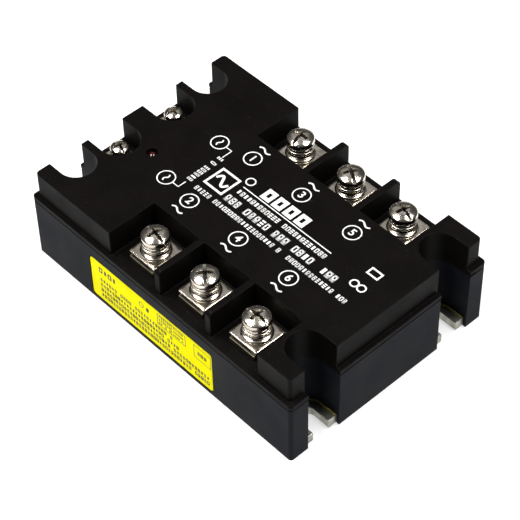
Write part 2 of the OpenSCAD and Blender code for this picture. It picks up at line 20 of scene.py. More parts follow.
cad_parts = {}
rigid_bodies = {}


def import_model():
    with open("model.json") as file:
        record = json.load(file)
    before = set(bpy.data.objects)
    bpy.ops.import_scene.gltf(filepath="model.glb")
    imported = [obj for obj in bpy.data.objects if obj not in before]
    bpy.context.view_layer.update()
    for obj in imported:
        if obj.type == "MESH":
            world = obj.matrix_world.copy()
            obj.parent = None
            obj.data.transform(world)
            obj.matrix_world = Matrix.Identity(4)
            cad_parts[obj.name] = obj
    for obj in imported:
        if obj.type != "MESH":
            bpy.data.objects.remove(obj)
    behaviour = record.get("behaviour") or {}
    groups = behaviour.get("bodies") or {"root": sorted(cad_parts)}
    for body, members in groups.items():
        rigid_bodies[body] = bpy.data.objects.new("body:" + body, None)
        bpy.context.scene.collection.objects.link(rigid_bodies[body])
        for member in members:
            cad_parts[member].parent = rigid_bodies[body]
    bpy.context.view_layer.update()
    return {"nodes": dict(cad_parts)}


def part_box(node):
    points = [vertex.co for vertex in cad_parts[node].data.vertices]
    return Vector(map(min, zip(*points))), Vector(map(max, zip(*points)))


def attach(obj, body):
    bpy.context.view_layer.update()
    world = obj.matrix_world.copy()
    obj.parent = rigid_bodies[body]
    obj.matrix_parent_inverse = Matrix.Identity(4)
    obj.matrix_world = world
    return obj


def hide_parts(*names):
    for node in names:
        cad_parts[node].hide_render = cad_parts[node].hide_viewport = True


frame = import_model()

MM = 0.001
CASE_BODY = "relay_case"
RECESS = "painted_recess_shade"
SHARP_DEG = 38.0
LOG = logging.getLogger("relay")

Colour = tuple[float, float, float]
Point2 = tuple[float, float]
EdgeTest = Callable[[bmesh.types.BMEdge], bool]


# ---- Mesh making ----


def close_mesh(
    bm: bmesh.types.BMesh, name: str, crease_deg: float = 35.0, recalc: bool = True
) -> bpy.types.Mesh:
    """Turns a bmesh into a smooth-shaded mesh with its sharp edges marked.

    Args:
        bm: The geometry, which is freed.
        name: Name of the new mesh.
        crease_deg: Edges that turn more than this stay sharp.
        recalc: Whether to merge doubles and turn the normals outwards first.

    Returns:
        The new mesh.
    """
    if recalc:
        bmesh.ops.remove_doubles(bm, verts=bm.verts, dist=1e-7)
        bmesh.ops.recalc_face_normals(bm, faces=bm.faces)
    mesh = bpy.data.meshes.new(name)
    bm.to_mesh(mesh)
    bm.free()
    mesh.shade_smooth()
    mesh.set_sharp_from_angle(angle=math.radians(crease_deg))
    return mesh


def skin(rings: Sequence[Sequence[Vector]], wrap: bool) -> bmesh.types.BMesh:
    """Joins rings of equal length with quads.

    Args:
        rings: Closed loops of points, in order.
        wrap: Whether the last ring joins the first.

    Returns:
        The skin, still open at both ends when wrap is False.
    """
    bm = bmesh.new()
    rows = [[bm.verts.new(p) for p in ring] for ring in rings]
    count = len(rows[0])
    for k in range(len(rows) if wrap else len(rows) - 1):
        row, following = rows[k], rows[(k + 1) % len(rows)]
        for i in range(count):
            j = (i + 1) % count
            bm.faces.new((row[i], row[j], following[j], following[i]))
    return bm


def rounded(points: Sequence[Point2], radius: float, steps: int = 3) -> list[Point2]:
    """Rounds every corner of a closed outline.

    Args:
        points: The outline's corners.
        radius: How far from a corner its rounding starts, cut down where a side is short.
        steps: Stretches in one rounding.

    Returns:
        The rounded outline.
    """
    out: list[Point2] = []
    for k, point in enumerate(points):
        here = Vector(point)
        before, after = Vector(points[k - 1]), Vector(points[(k + 1) % len(points)])
        back = (before - here).normalized() * min(radius, (before - here).length * 0.49)
        ahead = (after - here).normalized() * min(radius, (after - here).length * 0.49)
        for s in range(steps + 1):
            t = s / steps
            p = here + back * (1 - t) ** 2 + ahead * t**2
            out.append((p.x, p.y))
    return out


def revolve(profile: Sequence[Point2], segments: int, wrap: bool) -> bmesh.types.BMesh:
    """Turns a profile of (radius, height) points round the Z axis.

    Args:
        profile: The points, on the axis at both ends unless wrap is True.
        segments: Stretches round the axis.
        wrap: Whether the profile is a closed loop, as for a ring.

    Returns:
        The turned skin.
    """
    rings = []
    for r, z in profile:
        turns = (2 * math.pi * s / segments for s in range(segments))
        rings.append([Vector((r * math.cos(a), r * math.sin(a), z)) for a in turns])
    return skin(rings, wrap)


def squircle(half: float, corner: float, heading: float) -> Point2:
    """A point on a square with round corners.

    Args:
        half: Half of the square's side.
        corner: Radius of its corners; a corner equal to half gives a circle.
        heading: Angle of the point, in radians.

    Returns:
        The point in plan.
    """
    c, s = math.cos(heading), math.sin(heading)
    flat = half - corner
    reach = half / max(abs(c), abs(s))
    x, y = reach * c, reach * s
    if abs(x) > flat and abs(y) > flat and corner > 0:
        dot = flat * (abs(c) + abs(s))
        reach = dot + math.sqrt(max(dot * dot - 2 * flat * flat + corner * corner, 0.0))
        x, y = reach * c, reach * s
    return x, y


def cad_copy(node: str) -> bmesh.types.BMesh:
    """Copies a CAD node's mesh, merged and with its flat faces made whole.

    Args:
        node: Name of the node.

    Returns:
        The copy.
    """
    bm = bmesh.new()
    bm.from_mesh(frame["nodes"][node].data)
    bmesh.ops.remove_doubles(bm, verts=bm.verts, dist=1e-6)
    bmesh.ops.dissolve_limit(bm, angle_limit=math.radians(1), verts=bm.verts, edges=bm.edges)
    return bm


def eased_mesh(bm: bmesh.types.BMesh, name: str) -> bpy.types.Mesh:
    """Turns an eased copy into a mesh whose flat faces shade flat and whose roundings shade smooth.

    Args:
        bm: The eased geometry, which is freed.
        name: Name of the new mesh.

    Returns:
        The new mesh.
    """
    obj = bpy.data.objects.new(name, close_mesh(bm, name, recalc=False))
    bpy.context.scene.collection.objects.link(obj)
    weigh = obj.modifiers.new("weigh", "WEIGHTED_NORMAL")
    weigh.keep_sharp, weigh.weight = True, 100
    return evaluated_mesh(obj, name)


def sharp_edges(
    bm: bmesh.types.BMesh, wanted: EdgeTest, angle_deg: float = SHARP_DEG
) -> list[bmesh.types.BMEdge]:
    """Lists the edges that turn sharply and pass a test.

    Args:
        bm: The geometry.
        wanted: The test.
        angle_deg: Edges that turn more than this are sharp.

    Returns:
        The edges.
    """
    limit = math.radians(angle_deg)
    return [e for e in bm.edges if len(e.link_faces) == 2 and e.calc_face_angle() > limit and wanted(e)]


def any_edge(edge: bmesh.types.BMEdge) -> bool:
    """The test that every edge passes."""
    return True


def ease_edges(
    bm: bmesh.types.BMesh, edges: Iterable[bmesh.types.BMEdge], width: float, steps: int
) -> None:
    """Rounds a choice of edges with a bevel.

    Args:
        bm: The geometry.
        edges: The edges to round.
        width: Width of the bevel.
        steps: Stretches in one rounding.
    """
    bmesh.ops.bevel(
        bm, geom=list(edges), offset=width, offset_type="OFFSET", segments=steps,
        profile=0.5, affect="EDGES", clamp_overlap=False,
    )


def place_piece(
    name: str,
    mesh: bpy.types.Mesh,
    body: str,
    material: bpy.types.Material,
    replaces: Sequence[str] = (),
) -> bpy.types.Object:
    """Adds a finished mesh to the scene as a piece of the relay.

    Args:
        name: Name of the piece.
        mesh: Its mesh, already in place.
        body: The body it rides on.
        material: The material it is dressed in.
        replaces: CAD nodes that it stands for.

    Returns:
        The piece's object.
    """
    piece = bpy.data.objects.new(name, mesh)
    bpy.context.scene.collection.objects.link(piece)
    mesh.materials.clear()
    mesh.materials.append(material)
    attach(piece, body)
    if replaces:
        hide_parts(*replaces)
    LOG.info("%s: %d faces on %s", name, len(mesh.polygons), body)
    return piece


def moved(source: bpy.types.Mesh, name: str, matrix: Matrix) -> bpy.types.Mesh:
    """Copies a mesh and moves the copy's points.

    Args:
        source: The mesh to copy.
        name: Name of the copy.
        matrix: Where the points go.

    Returns:
        The moved copy.
    """
    mesh = source.copy()
    mesh.name = name
    mesh.transform(matrix)
    return mesh


def held(value: float) -> float:
    """Holds a value to 0..1."""
    return min(max(value, 0.0), 1.0)


def mark_recess(mesh: bpy.types.Mesh, depth_at: Callable[[Vector], float]) -> None:
    """Records a painted-shade weight for each vertex, 0 to 1: how deep in a recess it lies, or how far under
    a washer stack; the plating darkens by it as painted shade.

    Args:
        mesh: The mesh.
        depth_at: Gives the depth from the vertex's place.
    """
    depths = [depth_at(vertex.co) for vertex in mesh.vertices]
    mesh.attributes.new(RECESS, "FLOAT", "POINT").data.foreach_set("value", depths)


def evaluated_mesh(obj: bpy.types.Object, name: str) -> bpy.types.Mesh:
    """Makes a plain mesh of an object with its modifiers, and removes the object.

    Args:
        obj: The object.
        name: Name of the mesh.

    Returns:
        The plain mesh.
    """
    depsgraph = bpy.context.evaluated_depsgraph_get()
    mesh = bpy.data.meshes.new_from_object(obj.evaluated_get(depsgraph), depsgraph=depsgraph)
    mesh.name = name
    bpy.data.objects.remove(obj, do_unlink=True)
    return mesh


def joined(meshes: Sequence[bpy.types.Mesh], name: str, crease_deg: float = 35.0) -> bpy.types.Mesh:
    """Joins meshes into one, smooth-shaded.

    Args:
        meshes: The meshes.
        name: Name of the new mesh.
        crease_deg: Edges that turn more than this stay sharp.

    Returns:
        The joined mesh.
    """
    bm = bmesh.new()
    for mesh in meshes:
        bm.from_mesh(mesh)
    return close_mesh(bm, name, crease_deg, recalc=False)


# ---- Node trees ----


class NodeTree:
    """A thin builder for geometry and shader node trees."""

    def __init__(self, tree: bpy.types.NodeTree) -> None:
        """Keeps the tree that is being built."""
        self.tree = tree

    def node(self, kind: str, settings: dict[str, object] | None = None, **values: object) -> bpy.types.Node:
        """Adds a node.

        Args:
            kind: The node's type.
            settings: Properties of the node.
            **values: Input values or sockets to link, by input name with underscores for spaces.

        Returns:
            The node.
        """
        made = self.tree.nodes.new(kind)
        for key, value in (settings or {}).items():
            setattr(made, key, value)
        for key, value in values.items():
            self.feed(made.inputs[key.replace("_", " ")], value)
        return made

    def feed(self, socket: bpy.types.NodeSocket, value: object) -> None:
        """Links a socket or sets its value.

        Args:
            socket: The input socket.
            value: A socket to link from, or a plain value.
        """
        if isinstance(value, bpy.types.NodeSocket):
            self.tree.links.new(value, socket)
        else:
            socket.default_value = value

    def math(self, operation: str, a: object, b: object = 0.0, clamp: bool = False) -> bpy.types.NodeSocket:
        """Adds a math node and returns its result.

        Args:
            operation: The node's operation.
            a: First value.
            b: Second value.
            clamp: Whether the result is held to 0..1.

        Returns:
            The result's socket.
        """
        made = self.tree.nodes.new("ShaderNodeMath")
        made.operation = operation
        made.use_clamp = clamp
        self.feed(made.inputs[0], a)
        self.feed(made.inputs[1], b)
        return made.outputs[0]


class GeometryTree(NodeTree):
    """A geometry node tree with named inputs, run on an object to make a plain mesh."""

    def __init__(self, name: str, sizes: dict[str, str], takes_geometry: bool = False) -> None:
        """Starts a tree.

        Args:
            name: Name of the tree.
            sizes: Input names and their socket types.
            takes_geometry: Whether the tree works on the object's own mesh.
        """
        super().__init__(bpy.data.node_groups.new(name, "GeometryNodeTree"))
        face = self.tree.interface
        if takes_geometry:
            face.new_socket("Geometry", in_out="INPUT", socket_type="NodeSocketGeometry")
        self.ids = {}
        for label, kind in (sizes | {"Material": "NodeSocketMaterial"}).items():
            self.ids[label] = face.new_socket(label, in_out="INPUT", socket_type=kind).identifier
        face.new_socket("Geometry", in_out="OUTPUT", socket_type="NodeSocketGeometry")
        self.given = self.tree.nodes.new("NodeGroupInput").outputs

    def end(self, geometry: bpy.types.NodeSocket) -> None:
        """Ends the tree with real geometry in the given material.

        Args:
            geometry: The finished shape, instances and all.
        """
        real = self.node("GeometryNodeRealizeInstances", Geometry=geometry)
        dressed = self.node(
            "GeometryNodeSetMaterial", Geometry=real.outputs[0], Material=self.given["Material"]
        )
        self.node("NodeGroupOutput", Geometry=dressed.outputs[0])

    def run(
        self, name: str, values: dict[str, object], source: bpy.types.Mesh | None = None
    ) -> bpy.types.Mesh:
        """Runs the tree.

        Args:
            name: Name of the mesh.
            values: Input values by name.
            source: The mesh that the tree works on, if it takes one.

        Returns:
            The plain mesh.
        """
        obj = bpy.data.objects.new(name, source or bpy.data.meshes.new(name))
        bpy.context.scene.collection.objects.link(obj)
        modifier = obj.modifiers.new(name, "NODES")
        modifier.node_group = self.tree
        for label, value in values.items():
            modifier[self.ids[label]] = value
        return evaluated_mesh(obj, name)


class ShaderGroup(NodeTree):
    """A shader node group that puts out masks, values or colours."""

    def __init__(self, name: str, inputs: dict[str, float], outputs: Sequence[str]) -> None:
        """Starts a group.

        Args:
            name: Name of the group.
            inputs: Value inputs and their defaults.
            outputs: Names of the value outputs.
        """
        super().__init__(bpy.data.node_groups.new(name, "ShaderNodeTree"))
        for label, default in inputs.items():
            socket = self.tree.interface.new_socket(label, in_out="INPUT", socket_type="NodeSocketFloat")
            socket.default_value = default
        for label in outputs:
            self.tree.interface.new_socket(label, in_out="OUTPUT", socket_type="NodeSocketFloat")
        self.given = self.tree.nodes.new("NodeGroupInput").outputs
        self.result = self.tree.nodes.new("NodeGroupOutput").inputs

    def noise(self, scale: object, detail: float, offset: float = 0.0) -> bpy.types.NodeSocket:
        """Adds a noise on object coordinates and returns its value, 0 to 1.

        Args:
            scale: Scale of the noise.
            detail: Its number of finer layers.
            offset: How far it is moved along each axis.

        Returns:
            The noise's value.
        """
        where = self.node("ShaderNodeTexCoord").outputs["Object"]
        if offset:
            where = self.node("ShaderNodeMapping", Vector=where, Location=(offset,) * 3).outputs[0]
        return self.node("ShaderNodeTexNoise", Vector=where, Scale=scale, Detail=detail).outputs[0]

    def ramp(self, value: object, low: object, high: object) -> bpy.types.NodeSocket:
        """Maps a value from low..high to 0..1, held at both ends."""
        return self.node("ShaderNodeMapRange", Value=value, From_Min=low, From_Max=high).outputs[0]


class Effect(Enum):
    """The surface effects that the finishes share."""

    GRAIN = "surface_grain"
    WEAR = "edge_wear"
    DUST = "settled_dust"
    SCUFF = "fine_scuffs"


def grain_effect() -> bpy.types.NodeTree:
    """Makes a fine moulded or tumbled grain, and slow blotches.

    Returns:
        The node group.
    """
    scales = {"Fine Scale": 4000.0, "Blotch Scale": 150.0}
    group = ShaderGroup(Effect.GRAIN.value, scales, ["Height", "Blotch"])
    group.feed(group.result["Height"], group.noise(group.given["Fine Scale"], 3.0))
    blotch = group.noise(group.given["Blotch Scale"], 4.0, 0.37)
    group.feed(group.result["Blotch"], group.ramp(blotch, 0.35, 0.65))
    return group.tree


def wear_effect() -> bpy.types.NodeTree:
    """Makes patchy wear along edges, found where a rounded normal leans off the face.

    Returns:
        The node group.
    """
    group = ShaderGroup(Effect.WEAR.value, {"Amount": 0.5, "Patch Scale": 500.0}, ["Mask"])
    flat = group.node("ShaderNodeNewGeometry").outputs["Normal"]
    eased = group.node("ShaderNodeBevel", {"samples": 4}, Radius=0.3 * MM).outputs[0]
    lean = group.node("ShaderNodeVectorMath", {"operation": "DOT_PRODUCT"}, Vector=flat)
    group.feed(lean.inputs[1], eased)
    edge = group.ramp(lean.outputs["Value"], 0.995, 0.9)
    patch = group.ramp(group.noise(group.given["Patch Scale"], 5.0, 0.11), 0.38, 0.62)
    worn = group.math("MULTIPLY", edge, patch)
    group.feed(group.result["Mask"], group.math("MULTIPLY", worn, group.given["Amount"]))
    return group.tree


def dust_effect() -> bpy.types.NodeTree:
    """Makes specks and a faint veil of dust on faces that look up.

    Returns:
        The node group.
    """
    group = ShaderGroup(Effect.DUST.value, {"Amount": 0.5, "Speck Scale": 900.0}, ["Mask"])
    normal = group.node("ShaderNodeNewGeometry").outputs["Normal"]
    facing = group.ramp(group.node("ShaderNodeSeparateXYZ", Vector=normal).outputs["Z"], 0.2, 0.9)
    specks = group.ramp(group.noise(group.given["Speck Scale"], 2.0, 0.53), 0.67, 0.76)
    cloud = group.ramp(group.noise(60.0, 3.0, 0.71), 0.4, 0.7)
    veil = group.math("ADD", specks, group.math("MULTIPLY", cloud, 0.02), clamp=True)
    settled = group.math("MULTIPLY", veil, facing)
    group.feed(group.result["Mask"], group.math("MULTIPLY", settled, group.given["Amount"]))
    return group.tree


def scuff_effect() -> bpy.types.NodeTree:
    """Makes short fine scratches in three directions.

    Returns:
        The node group.
    """
    group = ShaderGroup(Effect.SCUFF.value, {"Scale": 700.0, "Amount": 0.5}, ["Mask"])
    where = group.node("ShaderNodeTexCoord").outputs["Object"]
    strokes = []
    for turn, stretch in ((0.5, 14.0), (1.9, 18.0), (2.8, 11.0)):
        laid = group.node(
            "ShaderNodeMapping", Vector=where, Rotation=(turn * 0.4, turn * 0.7, turn),
            Scale=(1.0, stretch, 3.0),
        )
        line = group.node(
            "ShaderNodeTexNoise", Vector=laid.outputs[0], Scale=group.given["Scale"], Detail=1.0
        )
        strokes.append(group.ramp(line.outputs[0], 0.66, 0.72))
    lines = group.math("MAXIMUM", group.math("MAXIMUM", strokes[0], strokes[1]), strokes[2])
    group.feed(group.result["Mask"], group.math("MULTIPLY", lines, group.given["Amount"]))
    return group.tree


def make_effects() -> dict[Effect, bpy.types.NodeTree]:
    """Builds each shared effect once.

    Returns:
        The node group of each effect.
    """
    return {
        Effect.GRAIN: grain_effect(),
        Effect.WEAR: wear_effect(),
        Effect.DUST: dust_effect(),
        Effect.SCUFF: scuff_effect(),
    }


EFFECTS = make_effects()


class Dresser(NodeTree):
    """Builds one material round a Principled BSDF."""

    def __init__(self, name: str) -> None:
        """Starts a material with an empty tree.

        Args:
            name: Name of the material.
        """
        self.material = bpy.data.materials.new(name)
        self.material.use_nodes = True
        super().__init__(self.material.node_tree)
        self.tree.nodes.clear()
        self.shader = self.tree.nodes.new("ShaderNodeBsdfPrincipled")
        self.node("ShaderNodeOutputMaterial", Surface=self.shader.outputs[0])

    def effect(self, which: Effect, **values: float) -> bpy.types.NodeOutputs:
        """Places a shared effect with its own values and returns its outputs.

        Args:
            which: The effect.
            **values: Its input values, with underscores for spaces.

        Returns:
            The group's outputs.
        """
        made = self.tree.nodes.new("ShaderNodeGroup")
        made.node_tree = EFFECTS[which]
        for key, value in values.items():
            made.inputs[key.replace("_", " ")].default_value = value
        return made.outputs

    def mix(self, amount: object, a: object, b: object) -> bpy.types.NodeSocket:
        """Mixes two colours by an amount.

        Args:
            amount: Share of the second colour.
            a: First colour.
            b: Second colour.

        Returns:
            The mixed colour.
        """
        made = self.tree.nodes.new("ShaderNodeMix")
        made.data_type = "RGBA"
        self.feed(made.inputs[0], amount)
        for socket, value in ((made.inputs[6], a), (made.inputs[7], b)):
            self.feed(socket, (*value, 1.0) if isinstance(value, tuple) else value)
        return made.outputs[2]

    def spread(self, amount: object, low: float, high: float) -> bpy.types.NodeSocket:
        """Maps an amount of 0..1 to low..high."""
        return self.node("ShaderNodeMapRange", Value=amount, To_Min=low, To_Max=high).outputs[0]

    def bump(self, height: object, depth: float, strength: float = 1.0) -> None:
        """Feeds the shader's normal from a height, with depth in metres."""
        made = self.node("ShaderNodeBump", Height=height, Strength=strength, Distance=depth)
        self.feed(self.shader.inputs["Normal"], made.outputs[0])

    def set(self, **values: object) -> None:
        """Feeds the shader's sockets by name."""
        for key, value in values.items():
            self.feed(self.shader.inputs[key.replace("_", " ")], value)


# ---- Finishes ----


@dataclass(frozen=True)
class MouldedPlastic:
    """Matt moulded plastic with a spark-eroded grain, rubbed corners and a little dust."""

    name: str
    colour: Colour
    worn: Colour
    rough: float = 0.46
    grain_depth: float = 0.012 * MM
    dust: float = 0.08
    wear: float = 0.3
    specular: float = 0.12

    def material(self) -> bpy.types.Material:
        """Builds the material.

        Returns:
            The material.
        """
        d = Dresser(self.name)
        grain = d.effect(Effect.GRAIN, Fine_Scale=5200.0, Blotch_Scale=90.0)
        wear = d.effect(Effect.WEAR, Amount=self.wear, Patch_Scale=380.0)["Mask"]
        dust = d.effect(Effect.DUST, Amount=self.dust, Speck_Scale=1500.0)["Mask"]
        scuff = d.effect(Effect.SCUFF, Scale=260.0, Amount=0.08)["Mask"]
        lifted = tuple(c * 1.25 for c in self.colour)
        base = d.mix(grain["Blotch"], self.colour, lifted)
        base = d.mix(wear, base, self.worn)
        base = d.mix(scuff, base, self.worn)
        base = d.mix(dust, base, (0.20, 0.19, 0.17))
        rough = d.spread(grain["Blotch"], self.rough - 0.05, self.rough + 0.07)
        rough = d.math("SUBTRACT", rough, d.math("MULTIPLY", wear, 0.15))
        rough = d.math("ADD", rough, d.math("MULTIPLY", dust, 0.3), clamp=True)
        d.set(Base_Color=base, Roughness=rough, Specular_IOR_Level=self.specular)
        height = d.math("SUBTRACT", grain["Height"], d.math("MULTIPLY", scuff, 0.8))
        d.bump(height, self.grain_depth)
        return d.material


@dataclass(frozen=True)
class PlatedMetal:
    """Plated metal, tumbled smooth, with dull patches, fine scuffs, brighter edges and painted shade in
    recesses and under washer stacks.
    """

    name: str
    bright: Colour
    dull: Colour
    rough: float = 0.26
    dent: float = 0.006 * MM
    scuff: float = 0.2
    stain: float = 0.15

    def material(self) -> bpy.types.Material:
        """Builds the material.

        Returns:
            The material.
        """
        d = Dresser(self.name)
        grain = d.effect(Effect.GRAIN, Fine_Scale=900.0, Blotch_Scale=420.0)
        wear = d.effect(Effect.WEAR, Amount=0.8, Patch_Scale=900.0)["Mask"]
        scuff = d.effect(Effect.SCUFF, Scale=1100.0, Amount=self.scuff)["Mask"]
        dust = d.effect(Effect.DUST, Amount=self.stain, Speck_Scale=2600.0)["Mask"]
        base = d.mix(grain["Blotch"], self.bright, self.dull)
        base = d.mix(wear, base, tuple(min(c * 1.25, 1.0) for c in self.bright))
        base = d.mix(dust, base, tuple(c * 0.35 for c in self.dull))
        # Painted shade: the plating darkens by the recorded weight in driver recesses and under washer
        # stacks.
        depth = d.node("ShaderNodeAttribute", {"attribute_name": RECESS}).outputs["Fac"]
        base = d.mix(d.math("MULTIPLY", depth, 0.9), base, tuple(c * 0.1 for c in self.dull))
        rough = d.spread(grain["Blotch"], self.rough - 0.04, self.rough + 0.06)
        rough = d.math("ADD", rough, d.math("MULTIPLY", scuff, 0.15), clamp=True)
        d.set(Base_Color=base, Roughness=rough, Metallic=1.0)
        d.bump(d.math("SUBTRACT", grain["Height"], d.math("MULTIPLY", scuff, 0.3)), self.dent, 0.6)
        return d.material


@dataclass(frozen=True)
class PlainFinish:
    """A simple finish with a little grain and colour change, for prints, film and inner parts."""

    name: str
    colour: Colour
    rough: float = 0.5
    metallic: float = 0.0
    shift: float = 0.15
    grain_depth: float = 0.01 * MM
    coat: float = 0.0
    specular: float = 0.5

    def material(self) -> bpy.types.Material:
        """Builds the material.

        Returns:
            The material.
        """
        d = Dresser(self.name)
        grain = d.effect(Effect.GRAIN, Fine_Scale=3000.0, Blotch_Scale=260.0)
        shade = tuple(c * (1 - self.shift) for c in self.colour)
        rough = d.spread(grain["Blotch"], self.rough - 0.04, min(self.rough + 0.06, 1.0))
        d.set(Base_Color=d.mix(grain["Blotch"], self.colour, shade), Roughness=rough)
        d.set(Metallic=self.metallic, Coat_Weight=self.coat, Specular_IOR_Level=self.specular)
        d.bump(grain["Height"], self.grain_depth)
        return d.material


@dataclass(frozen=True)
class PrintingInk:
    """Screen-printed ink, a little uneven where it has thinned."""

    name: str
    colour: Colour
    thin: Colour

    def material(self) -> bpy.types.Material:
        """Builds the material.

        Returns:
            The material.
        """
        d = Dresser(self.name)
        grain = d.effect(Effect.GRAIN, Fine_Scale=6000.0, Blotch_Scale=1400.0)
        patch = d.math("POWER", grain["Blotch"], 3.0)
        d.set(Base_Color=d.mix(d.math("MULTIPLY", patch, 0.6), self.colour, self.thin), Roughness=0.55)
        d.bump(grain["Height"], 0.006 * MM)
        return d.material


@dataclass(frozen=True)
class ClearLens:
    """Tinted moulded lens of the status light."""

    name: str
    colour: Colour

    def material(self) -> bpy.types.Material:
        """Builds the material.

        Returns:
            The material.
        """
        d = Dresser(self.name)
        grain = d.effect(Effect.GRAIN, Fine_Scale=2000.0, Blotch_Scale=700.0)
        deep = tuple(c * 0.4 for c in self.colour)
        base = d.mix(grain["Blotch"], self.colour, deep)
        d.set(Base_Color=base, Roughness=d.spread(grain["Blotch"], 0.08, 0.16))
        d.set(Coat_Weight=0.6, Coat_Roughness=0.04)
        d.bump(grain["Height"], 0.002 * MM)
        return d.material


@dataclass(frozen=True)
class SweepPaper:
    """White studio paper, which glows so that the ground stays white under weak lights."""

    name: str
    shade: float
    glow: float

    def material(self) -> bpy.types.Material:
        """Builds the material.

        Returns:
            The material.
        """
        d = Dresser(self.name)
        grain = d.effect(Effect.GRAIN, Fine_Scale=800.0, Blotch_Scale=8.0)
        white = (self.shade,) * 3
        d.set(Base_Color=d.mix(grain["Blotch"], white, tuple(c * 0.99 for c in white)), Roughness=0.9)
        d.set(Emission_Color=(1.0, 1.0, 1.0, 1.0), Emission_Strength=self.glow)
        return d.material


class Finish(Enum):
    """Every finish on the relay."""

    COVER = MouldedPlastic(
        "cover_plastic", (0.0030, 0.0024, 0.0021), (0.010, 0.010, 0.010), specular=0.04
    )
    # A lighter, bluer copy of the cover plastic: painted reflection of the pale floor on the case's lower
    # walls.
    CASE = MouldedPlastic("case_plastic", (0.0060, 0.0067, 0.0095), (0.018, 0.019, 0.022), specular=0.04)
    PLATE = PlatedMetal(
        "plate_metal", (0.44, 0.44, 0.39), (0.24, 0.24, 0.20), rough=0.42, dent=0.015 * MM
    )
    # Very dark plating: painted shade for the bars, which sit in the shade of the clamp plates.
    BAR = PlatedMetal("bar_plating", (0.17, 0.15, 0.105), (0.10, 0.088, 0.06), rough=0.38)
    CLAMP = PlatedMetal("clamp_plating", (0.84, 0.77, 0.67), (0.52, 0.46, 0.38), rough=0.19)
    WASHER = PlatedMetal("washer_plating", (0.84, 0.79, 0.70), (0.50, 0.46, 0.39), rough=0.2)
    SCREW = PlatedMetal("screw_plating", (0.86, 0.80, 0.71), (0.58, 0.52, 0.44), rough=0.19)
    ADHESIVE = PlainFinish("sealing_adhesive", (0.36, 0.31, 0.06), 0.35, shift=0.4, grain_depth=0.05 * MM)
    LABEL = PlainFinish(
        "label_film", (0.95, 0.87, 0.0), 0.55, shift=0.03, grain_depth=0.004 * MM, specular=0.02
    )
    LABEL_INK = PrintingInk("label_ink", (0.012, 0.012, 0.014), (0.10, 0.09, 0.02))
    DECK_INK = PrintingInk("deck_ink", (0.80, 0.80, 0.78), (0.45, 0.45, 0.44))
    LENS = ClearLens("light_lens", (0.035, 0.002, 0.003))
    BOARD = PlainFinish("board_mask", (0.02, 0.16, 0.07), 0.3, coat=0.3)
    WHITE_PACKAGE = PlainFinish("white_package", (0.78, 0.77, 0.72), 0.5)
    FILM_CAPACITOR = PlainFinish("capacitor_box", (0.70, 0.52, 0.08), 0.4)
    BLUE_LACQUER = PlainFinish("resistor_blue", (0.22, 0.36, 0.50), 0.25, coat=0.4)
    DARK_PACKAGE = PlainFinish("dark_package", (0.015, 0.015, 0.016), 0.55)
    RED_BOX = PlainFinish("capacitor_red", (0.50, 0.07, 0.03), 0.35)
    TAN_LACQUER = PlainFinish("resistor_tan", (0.58, 0.42, 0.24), 0.3, coat=0.4)
    TINNED = PlainFinish("tinned_lead", (0.72, 0.71, 0.69), 0.3, metallic=1.0)
    CERAMIC = PlainFinish("glazed_ceramic", (0.86, 0.85, 0.81), 0.25, coat=0.3)
    SILICON = PlainFinish("silicon_die", (0.20, 0.21, 0.25), 0.12, metallic=0.9)
    COPPER = PlainFinish("copper_strap", (0.80, 0.42, 0.24), 0.3, metallic=1.0)
    GEL = PlainFinish("potting_gel", (0.42, 0.43, 0.45), 0.2, shift=0.25)
    FLOOR = SweepPaper("studio_floor", 0.5, 0.6)


class Materials:
    """Makes each finish's material once."""

    def __init__(self) -> None:
        """Starts with no materials made."""
        self.made: dict[Finish, bpy.types.Material] = {}

    def get(self, finish: Finish) -> bpy.types.Material:
        """Returns the material of a finish.

        Args:
            finish: The finish.

        Returns:
            Its material, made on first use.
        """
        if finish not in self.made:
            self.made[finish] = finish.value.material()
        return self.made[finish]


# ---- Housing ----


